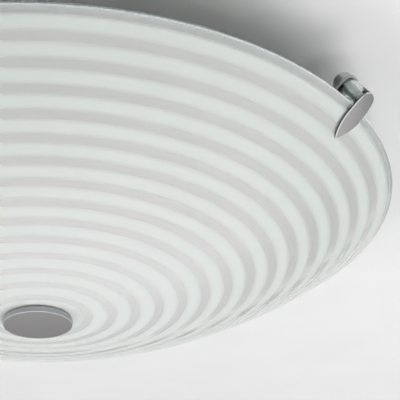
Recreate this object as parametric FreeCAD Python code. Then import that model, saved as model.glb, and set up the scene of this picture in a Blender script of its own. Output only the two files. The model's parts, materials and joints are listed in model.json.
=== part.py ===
import FreeCAD, Part
import math
import os

# Flush ceiling light: a domed glass shade hangs below a shallow steel pan on three clips
# whose leaf-shaped heads reach under the rim.  Two lamps lie inside, a disc marks the centre.
# Millimetres.  +Z is up.  The origin is on the ceiling plane, on the light's axis.

V = FreeCAD.Vector

# ---------------------------------------------------------------- driving sizes
# shade
SHADE_DIAMETER = 400.0
SHADE_DEPTH = 66.0            # rim plane to the lowest point, outside
SHADE_WALL = 4.0
SHADE_ARRIS = 0.5             # ground corners of the cut rim
SHADE_HOLE = 8.0              # centre hole
RIM_DROP = 40.0               # ceiling to the plane of the outer rim

# pan against the ceiling, open side up
PAN_DIAMETER = 270.0
PAN_DEPTH = 19.0
PAN_SHEET = 1.0
PAN_FLANGE = 5.0              # turned-out foot on the ceiling
PAN_CORNER = 5.0

# strap that is screwed to the ceiling
STRAP_WIDTH = 24.0
STRAP_SHEET = 1.5
STRAP_DROP = 5.5              # how far the ends step down from the ceiling
STRAP_STEP_AT = 52.0          # middle of the step, from the centre
STRAP_STEP_RUN = 6.0
SCREW_SLOT_SPACING = 70.0
SCREW_SLOT_WIDTH = 5.0
SCREW_SLOT_LENGTH = 16.0
CABLE_HOLE = 12.0
BUSH_WALL = 1.5
BUSH_LIP = 1.5
STUD_SPACING = 170.0
STUD_DIAMETER = 4.0
STUD_END_MARGIN = 10.0        # stud axis to the strap's end
STUD_HEAD_DIAMETER = 7.5
STUD_HEAD_HEIGHT = 2.6
STUD_HEAD_EDGE = 0.65
STUD_FLATS = 7.0
LOCK_NUT_HEIGHT = 3.2
CAP_NUT_HEIGHT = 8.0
CAP_NUT_WALL = 1.8
CAP_NUT_SHOULDER = 0.4        # flat to dome
PAN_WASHER_DIAMETER = 10.0
PAN_WASHER_THICK = 0.8

# clips: a leaf head on a threaded rod, in a clear sleeve, nutted to an arm of the pan
CLIP_ANGLES = (-30.0, 90.0, 210.0)
LEAF_HEEL_RADIUS = 5.2        # round end, about the rod's axis
LEAF_REACH = 24.2             # rod axis to the point
LEAF_WIDTH = 12.3
LEAF_WIDEST_AT = 9.4          # rod axis to the widest place
LEAF_THICK = 1.7
LEAF_CROWN_RADIUS = 130.0
LEAF_BEVEL = 0.8              # on the flat blank, which the crown then thins
LEAF_TURN = 4.6               # the leaf lies a little askew, turned about its rod
ROD_DIAMETER = 6.0
ROD_SPIGOT_DIAMETER = 4.0
ROD_SPIGOT_DEPTH = 0.8
ROD_END_CHAMFER = 0.6
ROD_PAST_NUT = 0.8
SLEEVE_WALL = 2.0
LEAF_TO_TAB = 13.6            # leaf's back to the arm's tab
CLIP_NUT_FLATS = 10.0
CLIP_NUT_HEIGHT = 4.8
CLIP_WASHER_DIAMETER = 12.4
CLIP_WASHER_THICK = 0.8

# arms of the pan
ARM_WIDTH = 12.0
ARM_SHEET = 1.5
ARM_FOOT = 36.0               # length that lies under the pan
ARM_FOOT_INSET = 2.0          # where the foot ends, inside the pan's wall
ARM_BEND = 4.0
TAB_LEG = 9.0                 # rod axis to the bend
RIVET_DIAMETER = 4.0
RIVET_HEAD_DIAMETER = 7.5
RIVET_HEAD_HEIGHT = 1.3
ARM_RIVET_FIRST = 9.0         # from the foot's inner end
ARM_RIVET_PITCH = 16.0

# centre disc on the shade
DISC_DIAMETER = 38.0
DISC_THICK = 3.2
DISC_BEVEL = 0.4
DISC_STUD_DIAMETER = 6.0
GASKET_DIAMETER = 37.0
GASKET_THICK = 0.4            # at the middle; it fills the dome's curve outside that
SEAL_DIAMETER = 24.0
SEAL_THICK = 1.5
DISC_WASHER_DIAMETER = 18.0
DISC_WASHER_THICK = 1.2
DISC_NUT_FLATS = 10.0
DISC_NUT_HEIGHT = 5.0
DISC_STUD_PAST_NUT = 1.5

# lamps and lampholders, side by side and head to tail
LAMP_OFFSET = 34.0            # lamp axis from the middle plane
LAMP_DROP = 54.0              # lamp axis below the ceiling
LAMP_CONTACT_AT = 61.0        # the lamp's end contact, from the cross plane
LAMP_DIAMETER = 60.0
LAMP_LENGTH = 106.0
LAMP_WALL = 1.2
CAP_DIAMETER = 26.2
CAP_LENGTH = 25.0
CAP_WALL = 0.5
CONTACT_DIAMETER = 9.6
CONTACT_HEIGHT = 1.5
INSULATOR_HEIGHT = 5.0
BODY_TOP = 61.0               # where the lamp's lower shell meets the diffuser
BOARD_THICK = 1.6
CHIP_SIZE = 3.0
CHIP_HEIGHT = 0.8
CHIP_COUNT = 8
CHIP_RING = 0.6               # where the emitters lie, as a share of the board's radius
HOLDER_DIAMETER = 40.0
HOLDER_BACK_DIAMETER = 32.0
HOLDER_FLOOR = 4.0            # behind the lamp's end contact
HOLDER_BACK = 14.0
HOLDER_SHELL_WALL = 0.5
SHELL_SUNK = 1.5              # holder's mouth to the end of its contact shell
NIPPLE_DIAMETER = 10.0
NIPPLE_BORE = 7.0
NIPPLE_LENGTH = 16.0
NIPPLE_IN_HOLDER = 6.0
NIPPLE_NUT_FLATS = 14.0
NIPPLE_NUT_HEIGHT = 3.0
TONGUE_WIDTH = 6.0
TONGUE_SHEET = 0.5
TONGUE_REACH = 9.0
TONGUE_FOOT = 4.0
BRACKET_WIDTH = 34.0
BRACKET_SHEET = 1.5
BRACKET_FOOT = 24.0
BRACKET_BEND = 3.0
BRACKET_RIVET_SPACING = 20.0
BRACKET_RIVET_FROM_END = 8.0

# terminal block, earth and wires
BLOCK_AT = 44.0               # middle of the block, from the centre
BLOCK_LENGTH = 17.0
BLOCK_WIDTH = 32.0
BLOCK_HEIGHT = 13.5
POLE_PITCH = 10.0
POLE_HEIGHT = 7.9             # middle of the wire holes above the pan's floor
POLE_BORE = 5.0
INSERT_WALL = 0.7
INSERT_LENGTH = 11.0
CLAMP_SCREW_DIAMETER = 2.6
CLAMP_SCREW_SPACING = 6.0
CLAMP_SCREW_SUNK = 0.6
PEG_DIAMETER = 3.0            # moulded pegs that hold the block in the pan
PEG_PAST_PAN = 1.5
PEG_BARB = 0.5
EARTH_AT = 70.0
EARTH_SCREW_DIAMETER = 4.0
EARTH_TAG_DIAMETER = 9.0
EARTH_TAG_THICK = 0.8
EARTH_TAG_BARREL = 7.0
EARTH_SCREW_PAST_PAN = 5.0
EARTH_WIRE_STRAIGHT = 1.0     # earth wire outside the block, and outside the tag
WIRE_DIAMETER = 2.2
WIRE_STACK = 2.4              # two wires in one pole lie this far apart
WIRE_PAIR = 2.6               # live and neutral side by side
WIRE_BEND = 9.0
WIRE_HOLE_AT = 100.0          # where the wires go down through the pan
WIRE_LOOP_INNER = 74.0
WIRE_LOOP_OUTER = 88.0
WIRE_LEAVE = 64.0             # end of the straight run out of the block
GROMMET_BORE = 6.0
GROMMET_WALL = 1.5
GROMMET_LIP = 1.5

# clearances
RUNNING = 0.10                # rod in its hole, lamp cap in its holder, each side
THREAD_GAP = 0.05             # screw and nut, each side
SEAT_GAP = 0.05               # faces that lie on each other
HOLE_GAP = 0.25               # plain clearance hole, each side
RIM_GAP = 0.20                # sleeve to the cut rim
LEAF_GAP = 0.30               # leaf to the outside of the glass at the rim
MOUTH_GAP = 0.50              # lamp's shoulder to the holder's mouth

# ---------------------------------------------------------------- worked out from them
SHADE_R = SHADE_DIAMETER / 2
BALL_R = (SHADE_R ** 2 + SHADE_DEPTH ** 2) / (2 * SHADE_DEPTH)
BALL_Z = BALL_R - SHADE_DEPTH - RIM_DROP
BALL_IN_R = BALL_R - SHADE_WALL
RIM_SLOPE = math.asin(SHADE_R / BALL_R)
PAN_R = PAN_DIAMETER / 2
PAN_FLOOR = PAN_SHEET - PAN_DEPTH
ROD_R = ROD_DIAMETER / 2
SLEEVE_R = ROD_R + RUNNING + SLEEVE_WALL
TAB_BACK = LEAF_TO_TAB + ARM_SHEET
NUT_FRONT = TAB_BACK + RUNNING + CLIP_WASHER_THICK
ROD_END = NUT_FRONT + CLIP_NUT_HEIGHT + ROD_PAST_NUT
CAP_R = CAP_DIAMETER / 2
SHELL_R = CAP_R + RUNNING + HOLDER_SHELL_WALL
LAMP_R = LAMP_DIAMETER / 2
LAMP_BALL_Z = LAMP_LENGTH - LAMP_R
HOLDER_MOUTH = CAP_LENGTH - MOUTH_GAP
GASKET_TOP = BALL_Z - BALL_R
DISC_TOP = GASKET_TOP - GASKET_THICK - SEAT_GAP
SEAL_BOTTOM = BALL_Z - math.sqrt(BALL_IN_R ** 2 - (SEAL_DIAMETER / 2) ** 2) + SEAT_GAP
SEAL_TOP = SEAL_BOTTOM + SEAL_THICK
DISC_NUT_BOTTOM = SEAL_TOP + SEAT_GAP + DISC_WASHER_THICK + SEAT_GAP
DISC_STUD_TOP = DISC_NUT_BOTTOM + DISC_NUT_HEIGHT + DISC_STUD_PAST_NUT
STRAP_END_TOP = -STRAP_DROP
STRAP_END_BOTTOM = -STRAP_DROP - STRAP_SHEET
CAP_NUT_TOP = -PAN_DEPTH - PAN_WASHER_THICK - 2 * SEAT_GAP
ARM_Z = -PAN_DEPTH - SEAT_GAP - ARM_SHEET / 2
EARTH_TAG_TOP = PAN_FLOOR + SEAT_GAP + EARTH_TAG_THICK
BRACKET_FACE = LAMP_CONTACT_AT + HOLDER_BACK
BRACKET_X = BRACKET_FACE + SEAT_GAP + BRACKET_SHEET / 2
BRACKET_RIVET_X = BRACKET_X - BRACKET_FOOT + BRACKET_RIVET_FROM_END
POLE_Z = PAN_FLOOR + POLE_HEIGHT


# ---------------------------------------------------------------- small helpers
def solid_of(shape):
    """One clean solid out of a boolean's result."""
    return shape.removeSplitter().Solids[0]


def rod(radius, z_low, z_high):
    return Part.makeCylinder(radius, z_high - z_low, V(0, 0, z_low))


def along_x(radius, x_low, x_high, y, z):
    return Part.makeCylinder(radius, x_high - x_low, V(x_low, y, z), V(1, 0, 0))


def ring(outer, inner, z_low, z_high):
    return rod(outer, z_low, z_high).cut(rod(inner, z_low, z_high))


def turned(outline):
    """Solid of revolution about Z from a closed outline of (radius, height) points."""
    corners = [V(radius, 0, height) for radius, height in outline]
    face = Part.Face(Part.makePolygon(corners + corners[:1]))
    return Part.Solid(face.revolve(V(0, 0, 0), V(0, 0, 1), 360))


def turned_edges(edges):
    face = Part.Face(Part.Wire(edges))
    return Part.Solid(face.revolve(V(0, 0, 0), V(0, 0, 1), 360))


def arc_about(centre, radius, start, end):
    """Arc in the XZ plane, angles in radians measured from straight down."""
    def at(angle):
        return V(centre[0] + radius * math.sin(angle), 0, centre[1] - radius * math.cos(angle))
    return Part.Arc(at(start), at((start + end) / 2), at(end)).toShape()


def line(first, last):
    return Part.LineSegment(first, last).toShape()


def drill(radius, x, y, middle, sheet):
    """Cutter for a hole through a level sheet whose middle is at a given height."""
    return Part.makeCylinder(radius, 2 * sheet, V(x, y, middle - sheet))


def ball(radius, x, z):
    return Part.makeSphere(radius, V(x, 0, z))


def hexagon(across_flats, z_low, z_high):
    """Hexagonal prism with its corners turned off at both ends."""
    corner = across_flats / math.sqrt(3)
    corners = [V(corner * math.cos(k * math.pi / 3), corner * math.sin(k * math.pi / 3), z_low)
               for k in range(7)]
    prism = Part.Face(Part.makePolygon(corners)).extrude(V(0, 0, z_high - z_low))
    flat = across_flats / 2
    drop = (corner - flat) * math.tan(math.radians(30))
    blank = turned([(0, z_low), (flat, z_low), (corner, z_low + drop),
                    (corner, z_high - drop), (flat, z_high), (0, z_high)])
    return prism.common(blank)


def hex_nut(across_flats, thread, z_low, z_high):
    return solid_of(hexagon(across_flats, z_low, z_high).cut(
        rod(thread / 2 + THREAD_GAP, z_low, z_high)))


def slot(width, length, z_low, z_high):
    """Round-ended slot along Y, centred on the origin."""
    half = (length - width) / 2
    bar = Part.makeBox(width, 2 * half, z_high - z_low, V(-width / 2, -half, z_low))
    for side in (-1, 1):
        bar = bar.fuse(Part.makeCylinder(width / 2, z_high - z_low, V(0, side * half, z_low)))
    return bar


def bend(before, corner, after, radius):
    """Tangent points, centre and middle of the arc that rounds a corner."""
    back = (before - corner).normalize()
    ahead = (after - corner).normalize()
    half = back.getAngle(ahead) / 2
    reach = radius / math.tan(half)
    middle = (back + ahead).normalize()
    centre = corner + middle * (radius / math.sin(half))
    return corner + back * reach, corner + ahead * reach, centre, centre - middle * radius


def bent_strip(points, radius, sheet, width):
    """Sheet strip whose middle line runs through points in the XZ plane, wide along Y."""
    def side(offset):
        """The line's edges, shifted sideways by offset."""
        edges = []
        start = None
        for index in range(len(points) - 1):
            along = (points[index + 1] - points[index]).normalize()
            shift = V(-along.z, 0, along.x) * offset
            if start is None:
                start = points[index] + shift
            if index + 2 == len(points):
                edges.append(line(start, points[index + 1] + shift))
                break
            first, last, centre, middle = bend(*points[index:index + 3], radius)
            onward = (points[index + 2] - points[index + 1]).normalize()
            next_shift = V(-onward.z, 0, onward.x) * offset
            sign = 1 if (centre - first).dot(V(-along.z, 0, along.x)) > 0 else -1
            crest = centre + (middle - centre).normalize() * (radius - sign * offset)
            edges.append(line(start, first + shift))
            edges.append(Part.Arc(first + shift, crest, last + next_shift).toShape())
            start = last + next_shift
        return edges
    upper = side(sheet / 2)
    lower = side(-sheet / 2)
    near_end = line(upper[0].Vertexes[0].Point, lower[0].Vertexes[0].Point)
    far_end = line(upper[-1].Vertexes[-1].Point, lower[-1].Vertexes[-1].Point)
    outline = Part.Wire(Part.__sortEdges__(upper + lower + [near_end, far_end]))
    strip = Part.Face(outline).extrude(V(0, width, 0))
    strip.translate(V(0, -width / 2, 0))
    return strip


def wire_tube(points, radius, diameter):
    """Round wire along straight runs joined by tangent arcs."""
    edges = []
    start = points[0]
    for index in range(1, len(points) - 1):
        first, last, centre, middle = bend(*points[index - 1:index + 2], radius)
        edges.append(line(start, first))
        edges.append(Part.Arc(first, middle, last).toShape())
        start = last
    edges.append(line(start, points[-1]))
    heading = points[1] - points[0]
    section = Part.Wire(Part.makeCircle(diameter / 2, points[0], heading))
    return Part.Solid(Part.Wire(edges).makePipe(Part.Face(section)))


def turn(shape, degrees):
    """Copy of a shape, turned about the light's axis."""
    copy = shape.copy()
    copy.rotate(V(0, 0, 0), V(0, 0, 1), degrees)
    return copy


def moved(shape, x, y, z=0.0):
    copy = shape.copy()
    copy.translate(V(x, y, z))
    return copy


# ---------------------------------------------------------------- shade and centre disc
def shade():
    """Spherical cap of even wall, rim cut square to the surface, hole at the centre."""
    trim = SHADE_ARRIS / BALL_R
    hole = SHADE_HOLE / 2
    low_out = math.asin(hole / BALL_R)
    low_in = math.asin(hole / BALL_IN_R)
    outside = arc_about((0, BALL_Z), BALL_R, low_out, RIM_SLOPE - trim)
    inside = arc_about((0, BALL_Z), BALL_IN_R, RIM_SLOPE - trim, low_in)
    edge_out = arc_about((0, BALL_Z), BALL_R - SHADE_ARRIS, RIM_SLOPE, RIM_SLOPE - trim)
    edge_in = arc_about((0, BALL_Z), BALL_IN_R + SHADE_ARRIS, RIM_SLOPE, RIM_SLOPE - trim)
    rim_low = edge_out.valueAt(edge_out.FirstParameter)
    rim_high = edge_in.valueAt(edge_in.FirstParameter)
    out_end = outside.valueAt(outside.LastParameter)
    in_start = inside.valueAt(inside.FirstParameter)
    in_end = inside.valueAt(inside.LastParameter)
    out_start = outside.valueAt(outside.FirstParameter)
    return turned_edges([outside, line(out_end, rim_low), line(rim_low, rim_high),
                         line(rim_high, in_start), inside, line(in_end, out_start)])


def centre_disc():
    """Plain bevelled disc with its threaded stud."""
    edge = DISC_DIAMETER / 2
    bottom = DISC_TOP - DISC_THICK
    stud = DISC_STUD_DIAMETER / 2
    return turned([(0, bottom), (edge - DISC_BEVEL, bottom), (edge, bottom + DISC_BEVEL),
                   (edge, DISC_TOP - DISC_BEVEL), (edge - DISC_BEVEL, DISC_TOP),
                   (stud, DISC_TOP), (stud, DISC_STUD_TOP - DISC_BEVEL),
                   (stud - DISC_BEVEL, DISC_STUD_TOP), (0, DISC_STUD_TOP)])


def centre_gasket():
    """Soft ring between the disc and the glass, hollowed to the dome."""
    blank = ring(GASKET_DIAMETER / 2, DISC_STUD_DIAMETER / 2 + HOLE_GAP,
                 DISC_TOP + SEAT_GAP, GASKET_TOP + GASKET_THICK)
    return solid_of(blank.cut(ball(BALL_R + SEAT_GAP, 0, BALL_Z)))


def centre_seal():
    """Soft washer inside the shade, with a collar that lines the hole."""
    bore = DISC_STUD_DIAMETER / 2 + SEAT_GAP
    collar = SHADE_HOLE / 2 - SEAT_GAP
    washer = ring(SEAL_DIAMETER / 2, bore, SEAL_BOTTOM, SEAL_TOP)
    lining = ring(collar, bore, GASKET_TOP + SHADE_WALL / 2, SEAL_TOP)
    return solid_of(washer.fuse(lining))


def centre_washer():
    bottom = SEAL_TOP + SEAT_GAP
    return ring(DISC_WASHER_DIAMETER / 2, DISC_STUD_DIAMETER / 2 + HOLE_GAP,
                bottom, bottom + DISC_WASHER_THICK)


def centre_nut():
    return hex_nut(DISC_NUT_FLATS, DISC_STUD_DIAMETER,
                   DISC_NUT_BOTTOM, DISC_NUT_BOTTOM + DISC_NUT_HEIGHT)


# ---------------------------------------------------------------- ceiling strap and pan
def ceiling_strap():
    """Strap with a flat middle on the ceiling and ends that step down."""
    high = -STRAP_SHEET / 2
    low = high - STRAP_DROP
    end = STUD_SPACING / 2 + STUD_END_MARGIN
    step_in = STRAP_STEP_AT - STRAP_STEP_RUN / 2
    step_out = STRAP_STEP_AT + STRAP_STEP_RUN / 2
    run = [V(-end, 0, low), V(-step_out, 0, low), V(-step_in, 0, high),
           V(step_in, 0, high), V(step_out, 0, low), V(end, 0, low)]
    strap = turn(bent_strip(run, STRAP_SHEET, STRAP_SHEET, STRAP_WIDTH), 90)
    depth = STRAP_DROP + 2 * STRAP_SHEET
    strap = strap.cut(rod(CABLE_HOLE / 2 + BUSH_WALL + SEAT_GAP, -depth, depth))
    for side in (-1, 1):
        fixing = slot(SCREW_SLOT_WIDTH, SCREW_SLOT_LENGTH, -depth, depth)
        strap = strap.cut(moved(fixing, 0, side * SCREW_SLOT_SPACING / 2))
        hole = rod(STUD_DIAMETER / 2 + THREAD_GAP, -2 * depth, depth)
        strap = strap.cut(moved(hole, 0, side * STUD_SPACING / 2))
    return solid_of(strap)


def cable_bush():
    """Snap-in bush that lines the strap's cable hole; its lip is under the strap."""
    inner = CABLE_HOLE / 2
    outer = inner + BUSH_WALL
    under = -STRAP_SHEET - SEAT_GAP
    return turned([(inner, 0), (outer, 0), (outer, under), (outer + BUSH_LIP, under),
                   (outer + BUSH_LIP, under - BUSH_LIP), (inner, under - BUSH_LIP)])


def on_studs(shape):
    """One copy at each of the strap's studs."""
    return [moved(shape, 0, side * STUD_SPACING / 2) for side in (-1, 1)]


def strap_studs():
    """Machine screws that hang head-up from the strap's ends."""
    shank = STUD_DIAMETER / 2
    head = STUD_HEAD_DIAMETER / 2
    seat = STRAP_END_TOP + SEAT_GAP
    tip = CAP_NUT_TOP - CAP_NUT_HEIGHT + CAP_NUT_WALL
    stud = turned([(0, tip), (shank, tip), (shank, seat), (head, seat),
                   (head, seat + STUD_HEAD_HEIGHT - STUD_HEAD_EDGE),
                   (head - STUD_HEAD_EDGE, seat + STUD_HEAD_HEIGHT),
                   (0, seat + STUD_HEAD_HEIGHT)])
    return on_studs(stud)


def strap_lock_nuts():
    top = STRAP_END_BOTTOM - SEAT_GAP
    return on_studs(hex_nut(STUD_FLATS, STUD_DIAMETER, top - LOCK_NUT_HEIGHT, top))


def pan_washers():
    top = -PAN_DEPTH - SEAT_GAP
    return on_studs(ring(PAN_WASHER_DIAMETER / 2, STUD_DIAMETER / 2 + HOLE_GAP,
                         top - PAN_WASHER_THICK, top))


def pan_cap_nuts():
    """Acorn nuts under the pan: hexagon above, dome below, blind thread."""
    dome = STUD_FLATS / 2 - CAP_NUT_SHOULDER
    waist = CAP_NUT_TOP - CAP_NUT_HEIGHT + dome
    nut = hexagon(STUD_FLATS, waist, CAP_NUT_TOP)
    nut = nut.fuse(Part.makeSphere(dome, V(0, 0, waist), V(0, 0, 1), -90, 0, 360))
    floor = CAP_NUT_TOP - CAP_NUT_HEIGHT + CAP_NUT_WALL - THREAD_GAP
    nut = nut.cut(rod(STUD_DIAMETER / 2 + THREAD_GAP, floor, CAP_NUT_TOP))
    return on_studs(solid_of(nut))


def pan():
    """Pressed tray: turned-out foot on the ceiling, wall, rounded corner, flat face."""
    outer = PAN_R
    inner = PAN_R - PAN_SHEET
    curl = PAN_CORNER - PAN_SHEET
    corner = (PAN_R - PAN_CORNER, PAN_CORNER - PAN_DEPTH)
    quarter = math.pi / 2
    floor_edge = line(V(0, 0, PAN_FLOOR), V(corner[0], 0, PAN_FLOOR))
    in_arc = arc_about(corner, curl, 0, quarter)
    out_arc = arc_about(corner, PAN_CORNER, quarter, 0)
    tray = turned_edges([
        floor_edge, in_arc,
        line(V(inner, 0, corner[1]), V(inner, 0, 0)),
        line(V(inner, 0, 0), V(outer + PAN_FLANGE, 0, 0)),
        line(V(outer + PAN_FLANGE, 0, 0), V(outer + PAN_FLANGE, 0, -PAN_SHEET)),
        line(V(outer + PAN_FLANGE, 0, -PAN_SHEET), V(outer, 0, -PAN_SHEET)),
        line(V(outer, 0, -PAN_SHEET), V(outer, 0, corner[1])),
        out_arc,
        line(V(corner[0], 0, -PAN_DEPTH), V(0, 0, -PAN_DEPTH)),
        line(V(0, 0, -PAN_DEPTH), V(0, 0, PAN_FLOOR))])
    for x, y, radius in pan_holes():
        tray = tray.cut(drill(radius, x, y, PAN_SHEET / 2 - PAN_DEPTH, PAN_SHEET))
    return solid_of(tray)


def pan_holes():
    """Centre and radius of each hole in the pan's flat face."""
    holes = []
    for side in (-1, 1):
        holes.append((0, side * STUD_SPACING / 2, STUD_DIAMETER / 2 + HOLE_GAP))
        holes.append((side * WIRE_HOLE_AT, -side * LAMP_OFFSET,
                      GROMMET_BORE / 2 + GROMMET_WALL + SEAT_GAP))
        holes.append((BLOCK_AT, side * POLE_PITCH / 2, PEG_DIAMETER / 2 + SEAT_GAP))
    holes.append((EARTH_AT, 0, EARTH_SCREW_DIAMETER / 2 + THREAD_GAP))
    for x, y in arm_rivet_places() + bracket_rivet_places():
        holes.append((x, y, RIVET_DIAMETER / 2 + SEAT_GAP))
    return holes


# ---------------------------------------------------------------- arms, rivets and clips
def clip_origin():
    """Radius and height where the rod meets the leaf's back."""
    along = SLEEVE_R + RIM_GAP
    out = LEAF_GAP
    radius = SHADE_R + along * math.cos(RIM_SLOPE) + out * math.sin(RIM_SLOPE)
    height = -RIM_DROP + along * math.sin(RIM_SLOPE) - out * math.cos(RIM_SLOPE)
    return radius, height


def clip_frame(angle):
    """Placement of a clip: X towards the leaf's point, Z up the rod, square to the glass."""
    radius, height = clip_origin()
    turn_z = FreeCAD.Rotation(V(0, 0, 1), angle)
    tilt = FreeCAD.Rotation(V(-math.cos(RIM_SLOPE), 0, -math.sin(RIM_SLOPE)), V(0, -1, 0),
                            V(-math.sin(RIM_SLOPE), 0, math.cos(RIM_SLOPE)), "XZY")
    return FreeCAD.Placement(turn_z.multVec(V(radius, 0, height)), turn_z.multiply(tilt))


def on_clip(shape, angle):
    copy = shape.copy()
    copy.Placement = clip_frame(angle).multiply(copy.Placement)
    return copy


def leaf():
    """Willow-leaf head: a heel round about the rod, two full flanks, a point."""
    half = LEAF_WIDTH / 2
    widest = LEAF_WIDEST_AT
    heel = LEAF_HEEL_RADIUS
    past = LEAF_REACH - widest
    fore_r = (past ** 2 + half ** 2) / (2 * half)
    aft_r = (widest ** 2 + half ** 2 - heel ** 2) / (2 * (half - heel))
    aft_centre = half - aft_r
    lean = math.atan2(widest, -aft_centre)
    fore_half = math.asin(past / fore_r) / 2

    def flank(side):
        heel_end = V(-heel * math.sin(lean), side * heel * math.cos(lean), 0)
        aft_mid = V(widest - aft_r * math.sin(lean / 2),
                    side * (aft_centre + aft_r * math.cos(lean / 2)), 0)
        top = V(widest, side * half, 0)
        fore_mid = V(widest + fore_r * math.sin(fore_half),
                     side * (half - fore_r + fore_r * math.cos(fore_half)), 0)
        tip = V(LEAF_REACH, 0, 0)
        return [Part.Arc(heel_end, aft_mid, top).toShape(),
                Part.Arc(top, fore_mid, tip).toShape()], heel_end
    left, left_heel = flank(1)
    right, right_heel = flank(-1)
    round_end = Part.Arc(left_heel, V(-heel, 0, 0), right_heel).toShape()
    outline = Part.Wire(Part.__sortEdges__(left + right + [round_end]))
    blade = Part.Face(outline).extrude(V(0, 0, -LEAF_THICK))
    flat_side = min(blade.Faces, key=lambda face: face.CenterOfMass.z)
    blade = blade.makeChamfer(LEAF_BEVEL, flat_side.Edges)
    blade = blade.common(ball(LEAF_CROWN_RADIUS, widest, LEAF_CROWN_RADIUS - LEAF_THICK))
    blade = blade.cut(rod(ROD_SPIGOT_DIAMETER / 2 + THREAD_GAP,
                          -ROD_SPIGOT_DEPTH - THREAD_GAP, 0))
    blade = solid_of(blade)
    blade.rotate(V(0, 0, 0), V(0, 0, 1), -LEAF_TURN)
    return blade


def clip_rod():
    """Threaded rod with a spigot into the leaf and a chamfered end."""
    spigot = ROD_SPIGOT_DIAMETER / 2
    return turned([(0, -ROD_SPIGOT_DEPTH), (spigot, -ROD_SPIGOT_DEPTH), (spigot, 0), (ROD_R, 0),
                   (ROD_R, ROD_END - ROD_END_CHAMFER), (ROD_R - ROD_END_CHAMFER, ROD_END),
                   (0, ROD_END)])


def clip_sleeve():
    return ring(SLEEVE_R, ROD_R + RUNNING, SEAT_GAP, LEAF_TO_TAB - RUNNING)


def clip_washer():
    return ring(CLIP_WASHER_DIAMETER / 2, ROD_R + RUNNING, TAB_BACK + RUNNING, NUT_FRONT)


def clip_nut():
    return turn(hex_nut(CLIP_NUT_FLATS, ROD_DIAMETER, NUT_FRONT + SEAT_GAP,
                        NUT_FRONT + CLIP_NUT_HEIGHT), 30)


def arm():
    """Strip riveted under the pan, bent so that its round tab lies square to the rod."""
    radius, height = clip_origin()
    climb = LEAF_TO_TAB + ARM_SHEET / 2
    hole = V(radius - climb * math.sin(RIM_SLOPE), 0, height + climb * math.cos(RIM_SLOPE))
    knee = hole - V(math.cos(RIM_SLOPE), 0, math.sin(RIM_SLOPE)) * TAB_LEG
    foot_end = PAN_R - ARM_FOOT_INSET
    run = [V(foot_end - ARM_FOOT, 0, ARM_Z), V(foot_end, 0, ARM_Z), knee, hole]
    strip = bent_strip(run, ARM_BEND, ARM_SHEET, ARM_WIDTH)
    frame = clip_frame(0)
    round_tab = rod(ARM_WIDTH / 2, LEAF_TO_TAB, TAB_BACK)
    round_tab.Placement = frame.multiply(round_tab.Placement)
    bore = rod(ROD_R + RUNNING, LEAF_TO_TAB - ARM_SHEET, TAB_BACK + ARM_SHEET)
    bore.Placement = frame.multiply(bore.Placement)
    strip = strip.fuse(round_tab).cut(bore)
    for place in arm_rivet_radii():
        strip = strip.cut(drill(RIVET_DIAMETER / 2 + SEAT_GAP, place, 0, ARM_Z, ARM_SHEET))
    return solid_of(strip)


def arm_rivet_radii():
    first = PAN_R - ARM_FOOT_INSET - ARM_FOOT + ARM_RIVET_FIRST
    return [first, first + ARM_RIVET_PITCH]


def arm_rivet_places():
    places = []
    for angle in CLIP_ANGLES:
        for radius in arm_rivet_radii():
            bearing = math.radians(angle)
            places.append((radius * math.cos(bearing), radius * math.sin(bearing)))
    return places


def rivet(sheet_below):
    """Rivet through the pan and the sheet under it, with a low head at each end."""
    shank = RIVET_DIAMETER / 2
    head = RIVET_HEAD_DIAMETER / 2
    top = PAN_FLOOR + SEAT_GAP
    bottom = -PAN_DEPTH - 2 * SEAT_GAP - sheet_below
    shoulder = head - RIVET_HEAD_HEIGHT
    return turned([(0, bottom - RIVET_HEAD_HEIGHT), (shoulder, bottom - RIVET_HEAD_HEIGHT),
                   (head, bottom), (shank, bottom), (shank, top), (head, top),
                   (shoulder, top + RIVET_HEAD_HEIGHT), (0, top + RIVET_HEAD_HEIGHT)])


def arm_rivets():
    return [moved(rivet(ARM_SHEET), x, y) for x, y in arm_rivet_places()]


# ---------------------------------------------------------------- lamps and lampholders
def on_lamp_axis(shape, side):
    """Place a part drawn along Z (0 at the lamp's end contact) on lamp 1 (-1) or 2 (+1)."""
    copy = shape.copy()
    heading = FreeCAD.Rotation(V(0, 0, -side), V(0, 1, 0), V(-side, 0, 0), "XZY")
    placement = FreeCAD.Placement(V(side * LAMP_CONTACT_AT, -side * LAMP_OFFSET, -LAMP_DROP),
                                  heading)
    copy.Placement = placement.multiply(copy.Placement)
    return copy


def lamp_contact():
    """Insulating plug of the screw cap with its end contact."""
    contact = CONTACT_DIAMETER / 2
    plug = CAP_R - CAP_WALL - SEAT_GAP
    return turned([(0, 0), (contact, 0), (contact, CONTACT_HEIGHT),
                   (plug, INSULATOR_HEIGHT), (plug, INSULATOR_HEIGHT + CONTACT_HEIGHT),
                   (0, INSULATOR_HEIGHT + CONTACT_HEIGHT)])


def lamp_cap():
    return ring(CAP_R, CAP_R - CAP_WALL, INSULATOR_HEIGHT, CAP_LENGTH)


def lamp_seam_radius():
    """Radius of the lamp's globe where the lower shell ends."""
    return math.sqrt(LAMP_R ** 2 - (BODY_TOP - LAMP_BALL_Z) ** 2)


def lamp_body():
    """Lower shell: neck inside the cap, then a cone up to the diffuser."""
    neck = CAP_R - CAP_WALL - SEAT_GAP
    seam = lamp_seam_radius()
    neck_low = INSULATOR_HEIGHT + CONTACT_HEIGHT + SEAT_GAP
    lip = CAP_LENGTH + SEAT_GAP
    return turned([(neck - LAMP_WALL, neck_low), (neck, neck_low), (neck, lip),
                   (CAP_R + LAMP_WALL, lip), (seam, BODY_TOP), (seam - LAMP_WALL, BODY_TOP),
                   (neck - LAMP_WALL, lip + LAMP_WALL)])


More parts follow.
